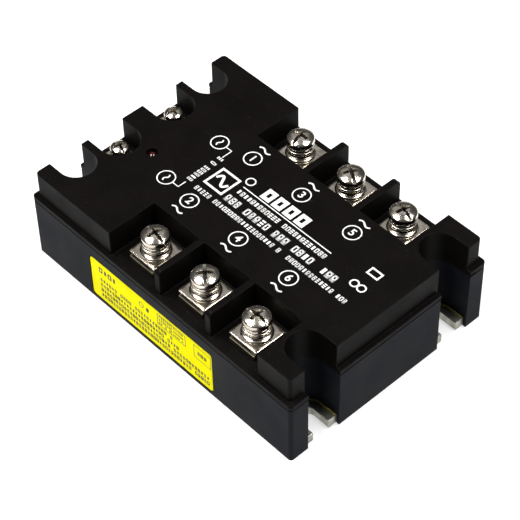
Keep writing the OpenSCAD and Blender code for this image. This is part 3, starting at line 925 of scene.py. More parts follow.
@dataclass
class Housing:
    """The moulded cover and lower case, with their edges eased as a mould leaves them."""

    materials: Materials
    edge: float = 0.25 * MM
    rim: float = 0.15 * MM
    deck: float = 2.2 * MM
    bar_t: float = 1.6 * MM
    flange_w: float = 1.3 * MM
    seam_gap: float = 0.3 * MM
    label_sink: float = 0.3 * MM
    label_foot: float = 0.5 * MM
    label_head: float = 1.0 * MM
    steps: int = 3
    near: float = 0.05 * MM
    tiny: float = 0.02 * MM

    def build(self) -> None:
        """Builds both mouldings."""
        self.cover()
        self.lower_case()

    def cover(self) -> None:
        """Rounds the cover's visible edges, outside and in the recesses."""
        bm = cad_copy("top_cover")
        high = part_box("top_cover")[1]
        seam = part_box("lower_case")[1].z
        inner_roof = high.z - self.deck
        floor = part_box("line_terminal_1")[1].z - self.bar_t

        def outside(edge: bmesh.types.BMEdge) -> bool:
            """Whether an edge shows: above the terminal floor and not in the hollow.

            Args:
                edge: The edge.

            Returns:
                True if it shows.
            """
            heights = [v.co.z for v in edge.verts]
            if any(abs(z - inner_roof) < self.tiny for z in heights):
                return False
            return min(heights) > floor - self.tiny

        def flange_foot(edge: bmesh.types.BMEdge) -> bool:
            """Whether an edge is on the flange's outer foot, over the seam.

            Args:
                edge: The edge.

            Returns:
                True if it is on the foot.
            """
            ends = [v.co for v in edge.verts]
            at_rim = all(
                abs(p.x) > high.x - self.flange_w or abs(p.y) > high.y - self.flange_w for p in ends
            )
            on_foot = all(abs(p.z - seam - self.seam_gap) < self.near for p in ends)
            return at_rim and on_foot

        ease_edges(bm, sharp_edges(bm, flange_foot), self.rim, 2)
        ease_edges(bm, sharp_edges(bm, outside), self.edge, self.steps)
        mesh = eased_mesh(bm, "cover_moulding")
        plastic = self.materials.get(Finish.COVER)
        place_piece("cover_moulding", mesh, CASE_BODY, plastic, ["top_cover"])

    def lower_case(self) -> None:
        """Rounds the lower case's rim, corners and foot."""
        bm = cad_copy("lower_case")
        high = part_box("lower_case")[1]

        def on_skin(edge: bmesh.types.BMEdge) -> bool:
            """Whether an edge lies on the case's outer skin.

            Args:
                edge: The edge.

            Returns:
                True if it is on the skin and not round the label.
            """
            ends = [v.co for v in edge.verts]
            side = all(abs(abs(p.y) - high.y) < self.tiny for p in ends)
            end = all(abs(abs(p.x) - high.x) < self.tiny for p in ends)
            label = all(
                p.y < -high.y + self.label_sink and self.label_foot < p.z < high.z - self.label_head
                for p in ends
            )
            return (side or end) and not label

        ease_edges(bm, sharp_edges(bm, on_skin), self.rim, 2)
        mesh = eased_mesh(bm, "case_moulding")
        plastic = self.materials.get(Finish.CASE)
        place_piece("case_moulding", mesh, CASE_BODY, plastic, ["lower_case"])


# ---- Base plate ----


@dataclass
class BasePlate:
    """The metal plate under the case, and the adhesive that squeezes out along it."""

    materials: Materials
    edge: float = 0.25 * MM
    pocket_x: float = 46 * MM
    pocket_y: float = 24.5 * MM
    pocket_r: float = 5.65 * MM
    pocket_steps: int = 16
    bead_r: float = 0.3 * MM
    bead_lift: float = 0.12 * MM
    bead_short: float = 0.3 * MM
    bead_points: int = 90
    unevenness: float = 1.5
    first_seed: float = 3.0

    def build(self) -> None:
        """Builds the plate and its adhesive."""
        bm = cad_copy("base_plate")
        ease_edges(bm, sharp_edges(bm, any_edge), self.edge, 2)
        mesh = eased_mesh(bm, "heat_plate")
        metal = self.materials.get(Finish.PLATE)
        place_piece("heat_plate", mesh, CASE_BODY, metal, ["base_plate"])
        self.squeeze_out()

    def bead_tree(self) -> GeometryTree:
        """Makes the tree that lays an uneven bead along a path.

        Returns:
            The tree.
        """
        tree = GeometryTree(
            "adhesive_bead",
            {"Radius": "NodeSocketFloat", "Unevenness": "NodeSocketFloat", "Seed": "NodeSocketFloat"},
            takes_geometry=True,
        )
        curve = tree.node("GeometryNodeMeshToCurve", Mesh=tree.given["Geometry"])
        fine = tree.node("GeometryNodeResampleCurve", Curve=curve.outputs[0], Count=self.bead_points)
        noise = tree.node(
            "ShaderNodeTexNoise", {"noise_dimensions": "4D"}, W=tree.given["Seed"], Scale=420.0, Detail=2.0
        )
        swell = tree.math("MULTIPLY", tree.math("SUBTRACT", noise.outputs[0], 0.5), tree.given["Unevenness"])
        radius = tree.math("MULTIPLY", tree.math("ADD", swell, 1.0), tree.given["Radius"])
        section = tree.node("GeometryNodeCurvePrimitiveCircle", Resolution=10, Radius=1.0)
        tube = tree.node(
            "GeometryNodeCurveToMesh", Curve=fine.outputs[0], Profile_Curve=section.outputs[0],
            Scale=radius, Fill_Caps=True,
        )
        tree.end(tube.outputs[0])
        return tree

    def bead_path(self, sx: int, sy: int) -> bpy.types.Mesh:
        """Draws the path of one bead: in from the plate's end, round the pocket and out again.

        Args:
            sx: Side of the pocket along X, 1 or -1.
            sy: Side of the pocket along Y, 1 or -1.

        Returns:
            The path, as a mesh of edges.
        """
        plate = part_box("base_plate")[1]
        centre = Vector((sx * self.pocket_x, sy * self.pocket_y, plate.z + self.bead_lift))
        reach = self.pocket_r - self.bead_r * 0.4
        mouth = plate.x - abs(centre.x) - self.bead_short
        path = [Vector((mouth, -reach, 0))]
        for k in range(self.pocket_steps + 1):
            a = math.radians(-90 - 180 * k / self.pocket_steps)
            path.append(Vector((reach * math.cos(a), reach * math.sin(a), 0)))
        path.append(Vector((mouth, reach, 0)))
        bm = bmesh.new()
        ends = [bm.verts.new(centre + Vector((p.x * sx, p.y, p.z))) for p in path]
        for pair in zip(ends, ends[1:]):
            bm.edges.new(pair)
        line = bpy.data.meshes.new("bead_path")
        bm.to_mesh(line)
        bm.free()
        return line

    def squeeze_out(self) -> None:
        """Lays a bead of adhesive round the foot of each mounting pocket."""
        tree = self.bead_tree()
        material = self.materials.get(Finish.ADHESIVE)
        beads = []
        for number, (sx, sy) in enumerate(((1, -1), (1, 1), (-1, -1), (-1, 1))):
            path = self.bead_path(sx, sy)
            sizes = {
                "Radius": self.bead_r,
                "Unevenness": self.unevenness,
                "Seed": self.first_seed + number,
                "Material": material,
            }
            beads.append(tree.run("bead", sizes, path))
        mesh = joined(beads, "adhesive_squeeze_out")
        place_piece("adhesive_squeeze_out", mesh, CASE_BODY, material)


# ---- Screw terminals ----


class Bank(Enum):
    """The three banks of screw terminals."""

    LINE = "line"
    LOAD = "load"
    CONTROL = "control"


@dataclass(frozen=True)
class StackSizes:
    """Sizes of one kind of screw terminal that the frame doesn't give."""

    head_side: float
    dome: float
    shank_r: float
    hole_r: float
    core_r: float
    pitch: float
    slot_w: float
    cross_w: float
    cross_len: float
    plate_t: float
    lip: float
    plate_corner: float
    head_r: float
    boss_r: float
    hump_r: float
    washer_wall: float
    washer_ease: float = 0.14 * MM
    wire_ease: float = 0.12 * MM
    split_deg: float = 12.0
    rise_share: float = 0.18
    head_gap: float = 0.05 * MM
    head_ease: float = 0.45 * MM
    head_chamfer: float = 0.2 * MM
    slot_sink: float = 0.3 * MM
    cross_sink: float = 1.1 * MM
    cross_taper: float = 0.4
    recess_ease: float = 0.09 * MM
    tip_chamfer: float = 0.4 * MM
    neck: float = 0.5 * MM
    thread_start: float = 0.7 * MM
    thread_short: float = 1.2 * MM
    plate_ease: float = 0.22 * MM
    stack_shade: float = 0.9

    def crown_r(self) -> float:
        """Radius of the curve of the head's crown."""
        return (self.head_r**2 + self.dome**2) / (2 * self.dome)


POWER_SIZES = StackSizes(
    head_side=1.75 * MM,
    dome=1.05 * MM,
    shank_r=2.0 * MM,
    hole_r=2.15 * MM,
    core_r=1.62 * MM,
    pitch=0.7 * MM,
    slot_w=1.0 * MM,
    cross_w=1.15 * MM,
    cross_len=5.2 * MM,
    plate_t=1.0 * MM,
    lip=0.6 * MM,
    plate_corner=0.35 * MM,
    head_r=4.0 * MM,
    boss_r=3.15 * MM,
    hump_r=4.5 * MM,
    washer_wall=1.75 * MM,
)
CONTROL_SIZES = StackSizes(
    head_side=1.45 * MM,
    dome=0.85 * MM,
    shank_r=1.5 * MM,
    hole_r=1.65 * MM,
    core_r=1.2 * MM,
    pitch=0.5 * MM,
    slot_w=0.75 * MM,
    cross_w=0.9 * MM,
    cross_len=3.8 * MM,
    plate_t=0.8 * MM,
    lip=0.5 * MM,
    plate_corner=0.3 * MM,
    head_r=2.8 * MM,
    boss_r=2.3 * MM,
    hump_r=3.15 * MM,
    washer_wall=1.0 * MM,
)


@dataclass(frozen=True)
class PlateRow:
    """One row of points round a clamp plate."""

    reach: float
    round_off: float
    height: float
    drop: float = 0.0


HUMP_CURVE = (
    (0.0, 0.1), (0.04, 0.45), (0.12, 0.62), (0.3, 0.7), (0.6, 0.73), (0.82, 0.8), (0.95, 0.9), (1.0, 0.995),
)


class ThreadMaker:
    """Geometry node tree for the ridge of a screw thread."""

    def __init__(self) -> None:
        """Builds the tree once for all screws."""
        sizes = {k: "NodeSocketFloat" for k in ("Radius", "Ridge", "Length", "Pitch")}
        t = self.tree = GeometryTree("thread_ridge", sizes)
        turns = t.math("DIVIDE", t.given["Length"], t.given["Pitch"])
        spiral = t.node(
            "GeometryNodeCurveSpiral", Resolution=20, Rotations=turns, Start_Radius=t.given["Radius"],
            End_Radius=t.given["Radius"], Height=t.given["Length"],
        )
        section = t.node("GeometryNodeCurvePrimitiveCircle", Resolution=4, Radius=t.given["Ridge"])
        ridge = t.node(
            "GeometryNodeCurveToMesh", Curve=spiral.outputs[0], Profile_Curve=section.outputs[0],
            Fill_Caps=True,
        )
        t.end(ridge.outputs[0])


class SpringMaker:
    """Geometry node tree for a split spring washer, swept along one turn of a helix."""

    def __init__(self) -> None:
        """Builds the tree once for all spring washers."""
        names = ("Mean Radius", "Wall", "Thickness", "Rise", "Turn", "Easing")
        t = self.tree = GeometryTree("split_spring_washer", {k: "NodeSocketFloat" for k in names})
        radius = t.given["Mean Radius"]
        spiral = t.node(
            "GeometryNodeCurveSpiral", Resolution=72, Rotations=t.given["Turn"], Start_Radius=radius,
            End_Radius=radius, Height=t.given["Rise"],
        )
        upright = t.node("GeometryNodeSetCurveNormal", {"mode": "Z_UP"}, Curve=spiral.outputs[0])
        section = t.node(
            "GeometryNodeCurvePrimitiveQuadrilateral", Width=t.given["Wall"], Height=t.given["Thickness"]
        )
        eased = t.node(
            "GeometryNodeFilletCurve", {"mode": "POLY"}, Curve=section.outputs[0], Count=2,
            Radius=t.given["Easing"],
        )
        ring = t.node(
            "GeometryNodeCurveToMesh", Curve=upright.outputs[0], Profile_Curve=eased.outputs[0],
            Fill_Caps=True,
        )
        t.end(ring.outputs[0])


@dataclass
class TerminalShop:
    """Makes the meshes that all terminals of one kind share, standing on the Z axis."""

    sizes: StackSizes
    steel: bpy.types.Material
    thread: ThreadMaker
    spring: SpringMaker
    head_mesh: bpy.types.Mesh = field(init=False)

    def __post_init__(self) -> None:
        """Makes the driver head once."""
        self.head_mesh = self.screw_head()

    def recess_cutter(
        self, length: float, width: float, depth: float, taper: float, turn: float
    ) -> bpy.types.Object:
        """Makes one bar of the driver recess, to be cut from the head.

        Args:
            length: Length of the bar at the head's top.
            width: Width of the bar.
            depth: Depth below the head's top.
            taper: Share of the length that is left at the bottom.
            turn: Turn about the head's axis, in radians.

        Returns:
            The cutter.
        """
        above = 1.0 * MM
        floor_width = 0.85
        levels = ((-depth, taper, floor_width), (above, 1 + (1 - taper) * above / depth, 1.0))
        bm = bmesh.new()
        for height, length_share, width_share in levels:
            for sy in (-1, 1):
                for sx in (-1, 1):
                    x = sx * length / 2 * length_share
                    y = sy * width / 2 * width_share
                    bm.verts.new((x, y, height))
        bmesh.ops.convex_hull(bm, input=bm.verts)
        bmesh.ops.recalc_face_normals(bm, faces=bm.faces)
        mesh = bpy.data.meshes.new("recess_bar")
        bm.to_mesh(mesh)
        bm.free()
        mesh.transform(Matrix.Rotation(turn, 4, "Z"))
        cutter = bpy.data.objects.new("recess_bar", mesh)
        bpy.context.scene.collection.objects.link(cutter)
        return cutter

    def screw_head(self) -> bpy.types.Mesh:
        """Makes a pan head with a cross and a slot, its crown at the origin.

        Returns:
            The head's mesh.
        """
        s = self.sizes
        radius, arc_r = s.head_r, s.crown_r()
        side = -s.dome - s.head_side
        under = side - 0.05 * MM
        crown_steps, segments = 12, 64
        profile = [
            (arc_r * math.sin(a), arc_r * math.cos(a) - arc_r)
            for a in (math.asin(radius / arc_r) * k / crown_steps for k in range(crown_steps - 1))
        ]
        profile += [
            (radius - s.head_ease * 0.45, -s.dome + 0.10 * MM),
            (radius - s.head_ease * 0.12, -s.dome - s.head_ease * 0.25),
            (radius, -s.dome - s.head_ease * 0.8),
            (radius, side + s.head_chamfer),
            (radius - s.head_chamfer, side),
            (s.core_r, side),
            (s.core_r, under),
            (0.0, under),
        ]
        blank = close_mesh(revolve(profile, segments, wrap=False), "driver_head")
        head = bpy.data.objects.new("driver_head", blank)
        bpy.context.scene.collection.objects.link(head)
        slot_depth, cross_depth = s.dome + s.slot_sink, s.dome + s.cross_sink
        cutters = [
            self.recess_cutter(2 * radius + 2 * MM, s.slot_w, slot_depth, 1.0, 0.0),
            self.recess_cutter(s.cross_len, s.cross_w, cross_depth, s.cross_taper, 0.0),
            self.recess_cutter(s.cross_len, s.cross_w, cross_depth, s.cross_taper, math.pi / 2),
        ]
        for cutter in cutters:
            cut = head.modifiers.new("recess", "BOOLEAN")
            cut.operation, cut.object, cut.solver = "DIFFERENCE", cutter, "EXACT"
        edge = head.modifiers.new("edge", "BEVEL")
        edge.width, edge.segments, edge.angle_limit = s.recess_ease, 2, math.radians(SHARP_DEG)
        mesh = evaluated_mesh(head, "driver_head")
        for cutter in cutters:
            bpy.data.objects.remove(cutter, do_unlink=True)
        bm = bmesh.new()
        bm.from_mesh(mesh)
        return close_mesh(bm, "driver_head")

    def screw(self, top: float, tip: float) -> bpy.types.Mesh:
        """Makes a whole screw.

        Args:
            top: Height of the head's crown.
            tip: Height of the shank's tip.

        Returns:
            The mesh, standing on the Z axis.
        """
        s = self.sizes
        under = top - s.dome - s.head_side
        inside = under + s.neck
        profile = [
            (0.0, tip),
            (s.core_r - s.tip_chamfer, tip),
            (s.core_r, tip + s.tip_chamfer),
            (s.core_r, inside),
            (0.0, inside),
        ]
        shank = revolve(profile, 32, wrap=False)
        ridge = s.shank_r - s.core_r
        sizes = {
            "Radius": s.shank_r - ridge,
            "Ridge": ridge * 0.95,
            "Length": under - tip - s.thread_short,
            "Pitch": s.pitch,
            "Material": self.steel,
        }
        thread = self.thread.tree.run("thread", sizes)
        thread.transform(Matrix.Translation((0, 0, tip + s.thread_start)))
        head = moved(self.head_mesh, "head", Matrix.Translation((0, 0, top)))
        mesh = joined([head, close_mesh(shank, "shank"), thread], "screw")
        self.darken_recess(mesh, top)
        return mesh

    def darken_recess(self, mesh: bpy.types.Mesh, top: float) -> None:
        """Marks the driver recess by its depth below the head's crown, which the plating paints as shade.

        Args:
            mesh: The screw, on the Z axis.
            top: Height of the head's crown.
        """
        s = self.sizes
        arc_r = s.crown_r()
        unshaded_rim, fade, deepest = 0.12 * MM, 0.5 * MM, s.dome + 1.2 * MM

        def depth_at(place: Vector) -> float:
            """Depth of a place in the recess, 0 outside it.

            Args:
                place: A vertex of the screw.

            Returns:
                The depth, 0 to 1.
            """
            reach = math.hypot(place.x, place.y)
            crown = top - arc_r + math.sqrt(max(arc_r**2 - reach**2, 0.0))
            below = crown - place.z - unshaded_rim
            inside = reach < s.cross_len / 2 and below < deepest
            return held(below / fade) if inside else 0.0

        mark_recess(mesh, depth_at)

    def flat_washer(self, low: float, high: float, radius: float) -> bpy.types.Mesh:
        """Makes a pressed flat washer between two heights.

        Args:
            low: Height of its underside.
            high: Height of its top.
            radius: Outer radius.

        Returns:
            The mesh.
        """
        inner = self.sizes.hole_r
        section = [(inner, low), (radius, low), (radius, high), (inner, high)]
        outline = rounded(section, self.sizes.washer_ease)
        return close_mesh(revolve(outline, 64, wrap=True), "flat_washer")

    def spring_washer(self, low: float, high: float, radius: float) -> bpy.types.Mesh:
        """Makes a split spring washer between two heights.

        Args:
            low: Height of its underside.
            high: Height of its top.
            radius: Outer radius.

        Returns:
            The mesh, with its split centred on +X.
        """
        s = self.sizes
        rise = s.rise_share * (high - low)
        thickness = high - low - rise
        sizes = {
            "Mean Radius": radius - s.washer_wall / 2,
            "Wall": s.washer_wall,
            "Thickness": thickness,
            "Rise": rise,
            "Turn": (360 - s.split_deg) / 360,
            "Easing": s.wire_ease,
            "Material": self.steel,
        }
        mesh = self.spring.tree.run("spring_washer", sizes)
        half_split = Matrix.Rotation(math.radians(s.split_deg / 2), 4, "Z")
        mesh.transform(Matrix.Translation((0, 0, low + thickness / 2)) @ half_split)
        bm = bmesh.new()
        bm.from_mesh(mesh)
        return close_mesh(bm, "spring_washer", 45)

    def plate_rows(self, low: float, high: float, half: float) -> list[PlateRow]:
        """Lists the rows round the clamp plate, from its hole over the top and back underneath.

        Args:
            low: Height of the lips' edge.
            high: Height of the hump's top.
            half: Half of the plate's width.

        Returns:
            The rows.
        """
        s = self.sizes
        under = low + s.lip
        top = under + s.plate_t
        hump = high - top
        roof = high - s.plate_t * 0.85
        corner, hole = s.plate_corner, s.hole_r
        lip_in = half - s.plate_t
        rows = [
            PlateRow(hole, hole, high - 0.15 * MM),
            PlateRow(hole + 0.12 * MM, hole + 0.12 * MM, high),
            PlateRow(s.boss_r - 0.15 * MM, s.boss_r - 0.15 * MM, high),
        ]
        for share, down in HUMP_CURVE:
            reach = s.boss_r + (s.hump_r - s.boss_r) * share
            rows.append(PlateRow(reach, reach, high - hump * down))
        flat = half - s.plate_ease
        for share in (0.35, 1.0):
            reach = s.hump_r + (flat - s.hump_r) * share
            round_off = s.hump_r + (corner - s.hump_r) * share
            rows.append(PlateRow(reach, min(round_off, reach), top))
        edge_steps = 3
        for k in range(1, edge_steps + 1):
            a = math.pi / 2 * k / edge_steps
            reach = flat + s.plate_ease * math.sin(a)
            round_off = corner + s.plate_ease * 0.4 * math.sin(a)
            rows.append(PlateRow(reach, round_off, top - s.plate_ease * (1 - math.cos(a))))
        rows += [
            PlateRow(half, corner + 0.15 * MM, under + 0.1 * MM, 0.85),
            PlateRow(half - 0.12 * MM, corner + 0.1 * MM, under, 1.0),
            PlateRow(lip_in + 0.1 * MM, corner * 0.7, under, 1.0),
            PlateRow(lip_in, corner * 0.6, under + 0.1 * MM, 0.2),
            PlateRow(lip_in - 0.1 * MM, corner * 0.6, under),
        ]
        inner = s.boss_r - 0.4 * MM
        rows += [
            PlateRow(inner, inner, under),
            PlateRow(inner - 0.1 * MM, inner - 0.1 * MM, under + 0.2 * MM),
            PlateRow(inner - 0.15 * MM, inner - 0.15 * MM, roof),
            PlateRow(hole, hole, roof),
        ]
        return rows

    def clamp_plate(self, low: float, high: float, half: float) -> bpy.types.Mesh:
        """Makes the pressed clamp plate: a square with turned-down sides and a hump round its hole.

        Args:
            low: Height of the lips' edge.
            high: Height of the hump's top.
            half: Half of the plate's width.

        Returns:
            The mesh, with its lips along Y.
        """
        s = self.sizes
        segments = 96
        bend_start, bend_w = half - s.plate_t - 0.35 * MM, 0.5 * MM
        rings = []
        for row in self.plate_rows(low, high, half):
            ring = []
            for k in range(segments):
                heading = 2 * math.pi * (k + 0.5) / segments
                x, y = squircle(row.reach, min(row.round_off, row.reach), heading)
                bend = held((abs(x) - bend_start) / bend_w)
                ring.append(Vector((x, y, row.height - row.drop * s.lip * bend * bend * (3 - 2 * bend))))
            rings.append(ring)
        mesh = close_mesh(skin(rings, wrap=True), "clamp_plate", 50)

        def depth_at(place: Vector) -> float:
            """Shade under the stack, full at the boss and none at the hump's foot."""
            return held((s.hump_r - math.hypot(place.x, place.y)) / (s.hump_r - s.boss_r)) * s.stack_shade

        mark_recess(mesh, depth_at)
        return mesh


@dataclass
class ScrewTerminal:
    """One terminal: its fixed bar, clamp plate, washers and screw."""

    bank: Bank
    number: int
    slot_turn: float
    split_turn: float
    shop: TerminalShop
    materials: Materials
    bar_edge: float = 0.18 * MM

    def node(self, part: str) -> str:
        """Name of one of this terminal's CAD nodes."""
        return f"{self.bank.value}_{part}_{self.number}"

    def outward(self) -> float:
        """Turn from the local +Y to the way out of the case, in degrees."""
        return {Bank.LINE: 0.0, Bank.LOAD: 180.0, Bank.CONTROL: 90.0}[self.bank]

    def stand(self, turn_deg: float = 0.0) -> Matrix:
        """Puts a mesh from the Z axis onto this terminal's axis, turned about it.

        Args:
            turn_deg: Turn about the axis, on top of the way out of the case.

        Returns:
            The matrix.
        """
        low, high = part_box(self.node("clamp_plate"))
        middle = (low + high) / 2
        return Matrix.Translation((middle.x, middle.y, 0)) @ Matrix.Rotation(
            math.radians(self.outward() + turn_deg), 4, "Z"
        )

    def add(
        self, part: str, mesh: bpy.types.Mesh, body: str, slot: str, finish: Finish, turn: float = 0.0
    ) -> None:
        """Stands a mesh on the terminal and makes it a piece that replaces its CAD node.

        Args:
            part: Name of the part within the terminal.
            mesh: Its mesh, on the Z axis.
            body: The body that it rides on.
            slot: Not used.
            finish: Its finish.
            turn: Turn about the axis, in degrees.
        """
        mesh.transform(self.stand(turn))
        mesh.name = self.node(part)
        name = f"{self.node(part)}_detail"
        place_piece(name, mesh, body, self.materials.get(finish), [self.node(part)])

    def build(self) -> None:
        """Builds every piece of the terminal."""
        clamp_body = self.node("clamp")
        bm = cad_copy(self.node("terminal"))
        ease_edges(bm, sharp_edges(bm, any_edge), self.bar_edge, 2)
        bar = eased_mesh(bm, self.node("bar"))
        place_piece(
            f"{self.node('terminal')}_detail", bar, CASE_BODY,
            self.materials.get(Finish.BAR), [self.node("terminal")],
        )
        low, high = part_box(self.node("clamp_plate"))
        plate = self.shop.clamp_plate(low.z, high.z, (high.x - low.x) / 2)
        self.add("clamp_plate", plate, clamp_body, "clamp_metal", Finish.CLAMP)
        if self.bank is not Bank.CONTROL:
            low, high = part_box(self.node("flat_washer"))
            washer = self.shop.flat_washer(low.z, high.z, (high.x - low.x) / 2)
            self.add("flat_washer", washer, clamp_body, "washer_metal", Finish.WASHER)
        low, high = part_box(self.node("spring_washer"))
        sizes = self.shop.sizes
        spring = self.shop.spring_washer(low.z, high.z, sizes.hole_r + sizes.washer_wall)
        self.add("spring_washer", spring, clamp_body, "washer_metal", Finish.WASHER, self.split_turn)
        top = high.z + sizes.head_gap + sizes.head_side + sizes.dome
        screw = self.shop.screw(top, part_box(self.node("screw"))[0].z)
        self.add("screw", screw, f"{self.node('screw')}_body", "screw_metal", Finish.SCREW, self.slot_turn)


@dataclass
class TerminalBanks:
    """All eight terminals, with the turn of each screw and of each spring washer's split in degrees."""

    materials: Materials
    line_turns: tuple[Point2, ...] = ((99, 150), (-30, 165), (-14, 170))
    load_turns: tuple[Point2, ...] = ((-8, -42), (-39, -55), (0, -40))
    control_turns: tuple[Point2, ...] = ((75, 30), (-8, 60))

    def build(self) -> None:
        """Builds the terminals bank by bank."""
        steel = self.materials.get(Finish.SCREW)
        thread, spring = ThreadMaker(), SpringMaker()
        power = TerminalShop(POWER_SIZES, steel, thread, spring)
        control = TerminalShop(CONTROL_SIZES, steel, thread, spring)
        for bank, turns, shop in (
            (Bank.LINE, self.line_turns, power),
            (Bank.LOAD, self.load_turns, power),
            (Bank.CONTROL, self.control_turns, control),
        ):
            for number, (slot_turn, split_turn) in enumerate(turns, 1):
                ScrewTerminal(bank, number, slot_turn, split_turn, shop, self.materials).build()


# ---- Prints ----


@dataclass
class InkSheet:
    """Flat printed shapes, drawn in plan and laid on one face of the relay."""

    place: Callable[[float, float, float], Vector]
    rows: GeometryTree
    material: bpy.types.Material
    thickness: float = 0.02 * MM
    numeral_size: float = 1.4 * MM
    numeral_weight: float = 0.06 * MM
    parts: list[bpy.types.Mesh] = field(default_factory=list)

    def solid(self, outline: Sequence[Point2], hole: Sequence[Point2] | None = None) -> None:
        """Adds a thin solid from an outline in millimetres.

        Args:
            outline: The shape's outline.
            hole: An outline of as many points to leave open, or None.
        """
        bm = bmesh.new()
        inner = hole or []
        levels = (0.0, self.thickness)
        out = [[bm.verts.new((x * MM, y * MM, z)) for x, y in outline] for z in levels]
        cut = [[bm.verts.new((x * MM, y * MM, z)) for x, y in inner] for z in levels]
        count = len(outline)
        for i in range(count):
            j = (i + 1) % count
            bm.faces.new((out[0][i], out[0][j], out[1][j], out[1][i]))
            if hole:
                bm.faces.new((cut[0][j], cut[0][i], cut[1][i], cut[1][j]))
                bm.faces.new((out[1][i], out[1][j], cut[1][j], cut[1][i]))
                bm.faces.new((out[0][j], out[0][i], cut[0][i], cut[0][j]))
        if not hole:
            bm.faces.new(out[1])
            bm.faces.new(out[0][::-1])
        self.keep(close_mesh(bm, "print"))

    def keep(self, mesh: bpy.types.Mesh) -> None:
        """Lays a plan mesh on the relay's face and keeps it.

        Args:
            mesh: The mesh, in plan, in metres.
        """
        for vertex in mesh.vertices:
            vertex.co = self.place(*vertex.co)
        self.parts.append(mesh)

    def bar(self, x: float, y: float, length: float, height: float) -> None:
        """Adds a filled bar, centred, in millimetres."""
        a, b = length / 2, height / 2
        self.solid([(x - a, y - b), (x + a, y - b), (x + a, y + b), (x - a, y + b)])

    def ring(self, x: float, y: float, radius: float, line: float) -> None:
        """Adds a circle of the given line width.

        Args:
            x: Middle of the circle, in millimetres.
            y: Middle of the circle.
            radius: Outer radius.
            line: Width of the line.
        """
        steps = 40
        turns = [2 * math.pi * k / steps for k in range(steps)]
        outer = [(x + radius * math.cos(a), y + radius * math.sin(a)) for a in turns]
        inner = [(x + (radius - line) * math.cos(a), y + (radius - line) * math.sin(a)) for a in turns]
        self.solid(outer, inner)

    def frame_line(self, x: float, y: float, length: float, height: float, line: float) -> None:
        """Adds a box outline with square corners, centred.

        Args:
            x: Middle of the box, in millimetres.
            y: Middle of the box.
            length: Size along X.
            height: Size along Y.
            line: Width of the line, inside the outline.
        """

        def corners(grow: float) -> list[Point2]:
            """Corners of the box, grown all round."""
            a, b = length / 2 + grow, height / 2 + grow
            return [(x - a, y - b), (x + a, y - b), (x + a, y + b), (x - a, y + b)]

        self.solid(corners(0.0), corners(-line))

    def stroke(self, points: Sequence[Point2], line: float) -> None:
        """Adds a line of even width along points.

        Args:
            points: The middle of the line, in millimetres.
            line: Its width.
        """
        left, right = [], []
        for k, point in enumerate(points):
            before = Vector(points[max(k - 1, 0)])
            after = Vector(points[min(k + 1, len(points) - 1)])
            side = (after - before).normalized().orthogonal() * line / 2
            here = Vector(point)
            left.append(tuple(here + side))
            right.append(tuple(here - side))
        self.solid(right + left[::-1])

    def wave(
        self, x: float, y: float, length: float, height: float, line: float, turned: bool = False
    ) -> None:
        """Adds one period of a sine wave, the sign for alternating current.

        Args:
            x: Middle of the wave, in millimetres.
            y: Middle of the wave.
            length: Length of the period.
            height: Height from trough to crest.
            line: Width of the line.
            turned: Whether the wave runs along Y.
        """
        points = []
        steps = 24
        for k in range(steps + 1):
            share = k / steps
            along, across = length * (share - 0.5), height / 2 * math.sin(2 * math.pi * share)
            points.append((x + across, y - along) if turned else (x + along, y + across))
        self.stroke(points, line)

    def numeral(self, digit: int, x: float, y: float, height: float) -> None:
        """Adds a plain numeral, centred.

        Args:
            digit: The number.
            x: Middle of the numeral, in millimetres.
            y: Middle of the numeral.
            height: Height of the numeral.
        """
        text = bpy.data.curves.new("numeral", "FONT")
        text.body = str(digit)
        text.size = height * self.numeral_size
        text.align_x, text.align_y = "CENTER", "CENTER"
        text.extrude = self.thickness / 2
        text.offset = self.numeral_weight
        obj = bpy.data.objects.new("numeral", text)
        bpy.context.scene.collection.objects.link(obj)
        mesh = evaluated_mesh(obj, "numeral")
        mesh.transform(Matrix.Translation((x * MM, y * MM, self.thickness / 2)))
        self.keep(mesh)

    def marks(
        self, x0: float, x1: float, y: float, height: float, pitch: float, seed: int, turn: float = 0.0
    ) -> None:
        """Adds a row of plain marks where the real relay has a line of print.

        Args:
            x0: Left end, in millimetres.
            x1: Right end.
            y: Middle of the row.
            height: Height of the marks.
            pitch: Distance between marks.
            seed: Seed of their widths and gaps.
            turn: Turn of the finished row about the sheet's middle, in degrees.
        """
        sizes = {
            "Length": (x1 - x0) * MM,
            "Height": height * MM,
            "Pitch": pitch * MM,
            "Thickness": self.thickness,
            "Seed": seed,
            "Material": self.material,
        }
        mesh = self.rows.run("marks", sizes)
        mesh.transform(Matrix.Translation(((x0 + pitch / 2) * MM, y * MM, self.thickness / 2)))
        mesh.transform(Matrix.Rotation(math.radians(turn), 4, "Z"))
        self.keep(mesh)

    def finish(self, name: str) -> None:
        """Joins the shapes into one piece on the case."""
        place_piece(name, joined(self.parts, name), CASE_BODY, self.material)


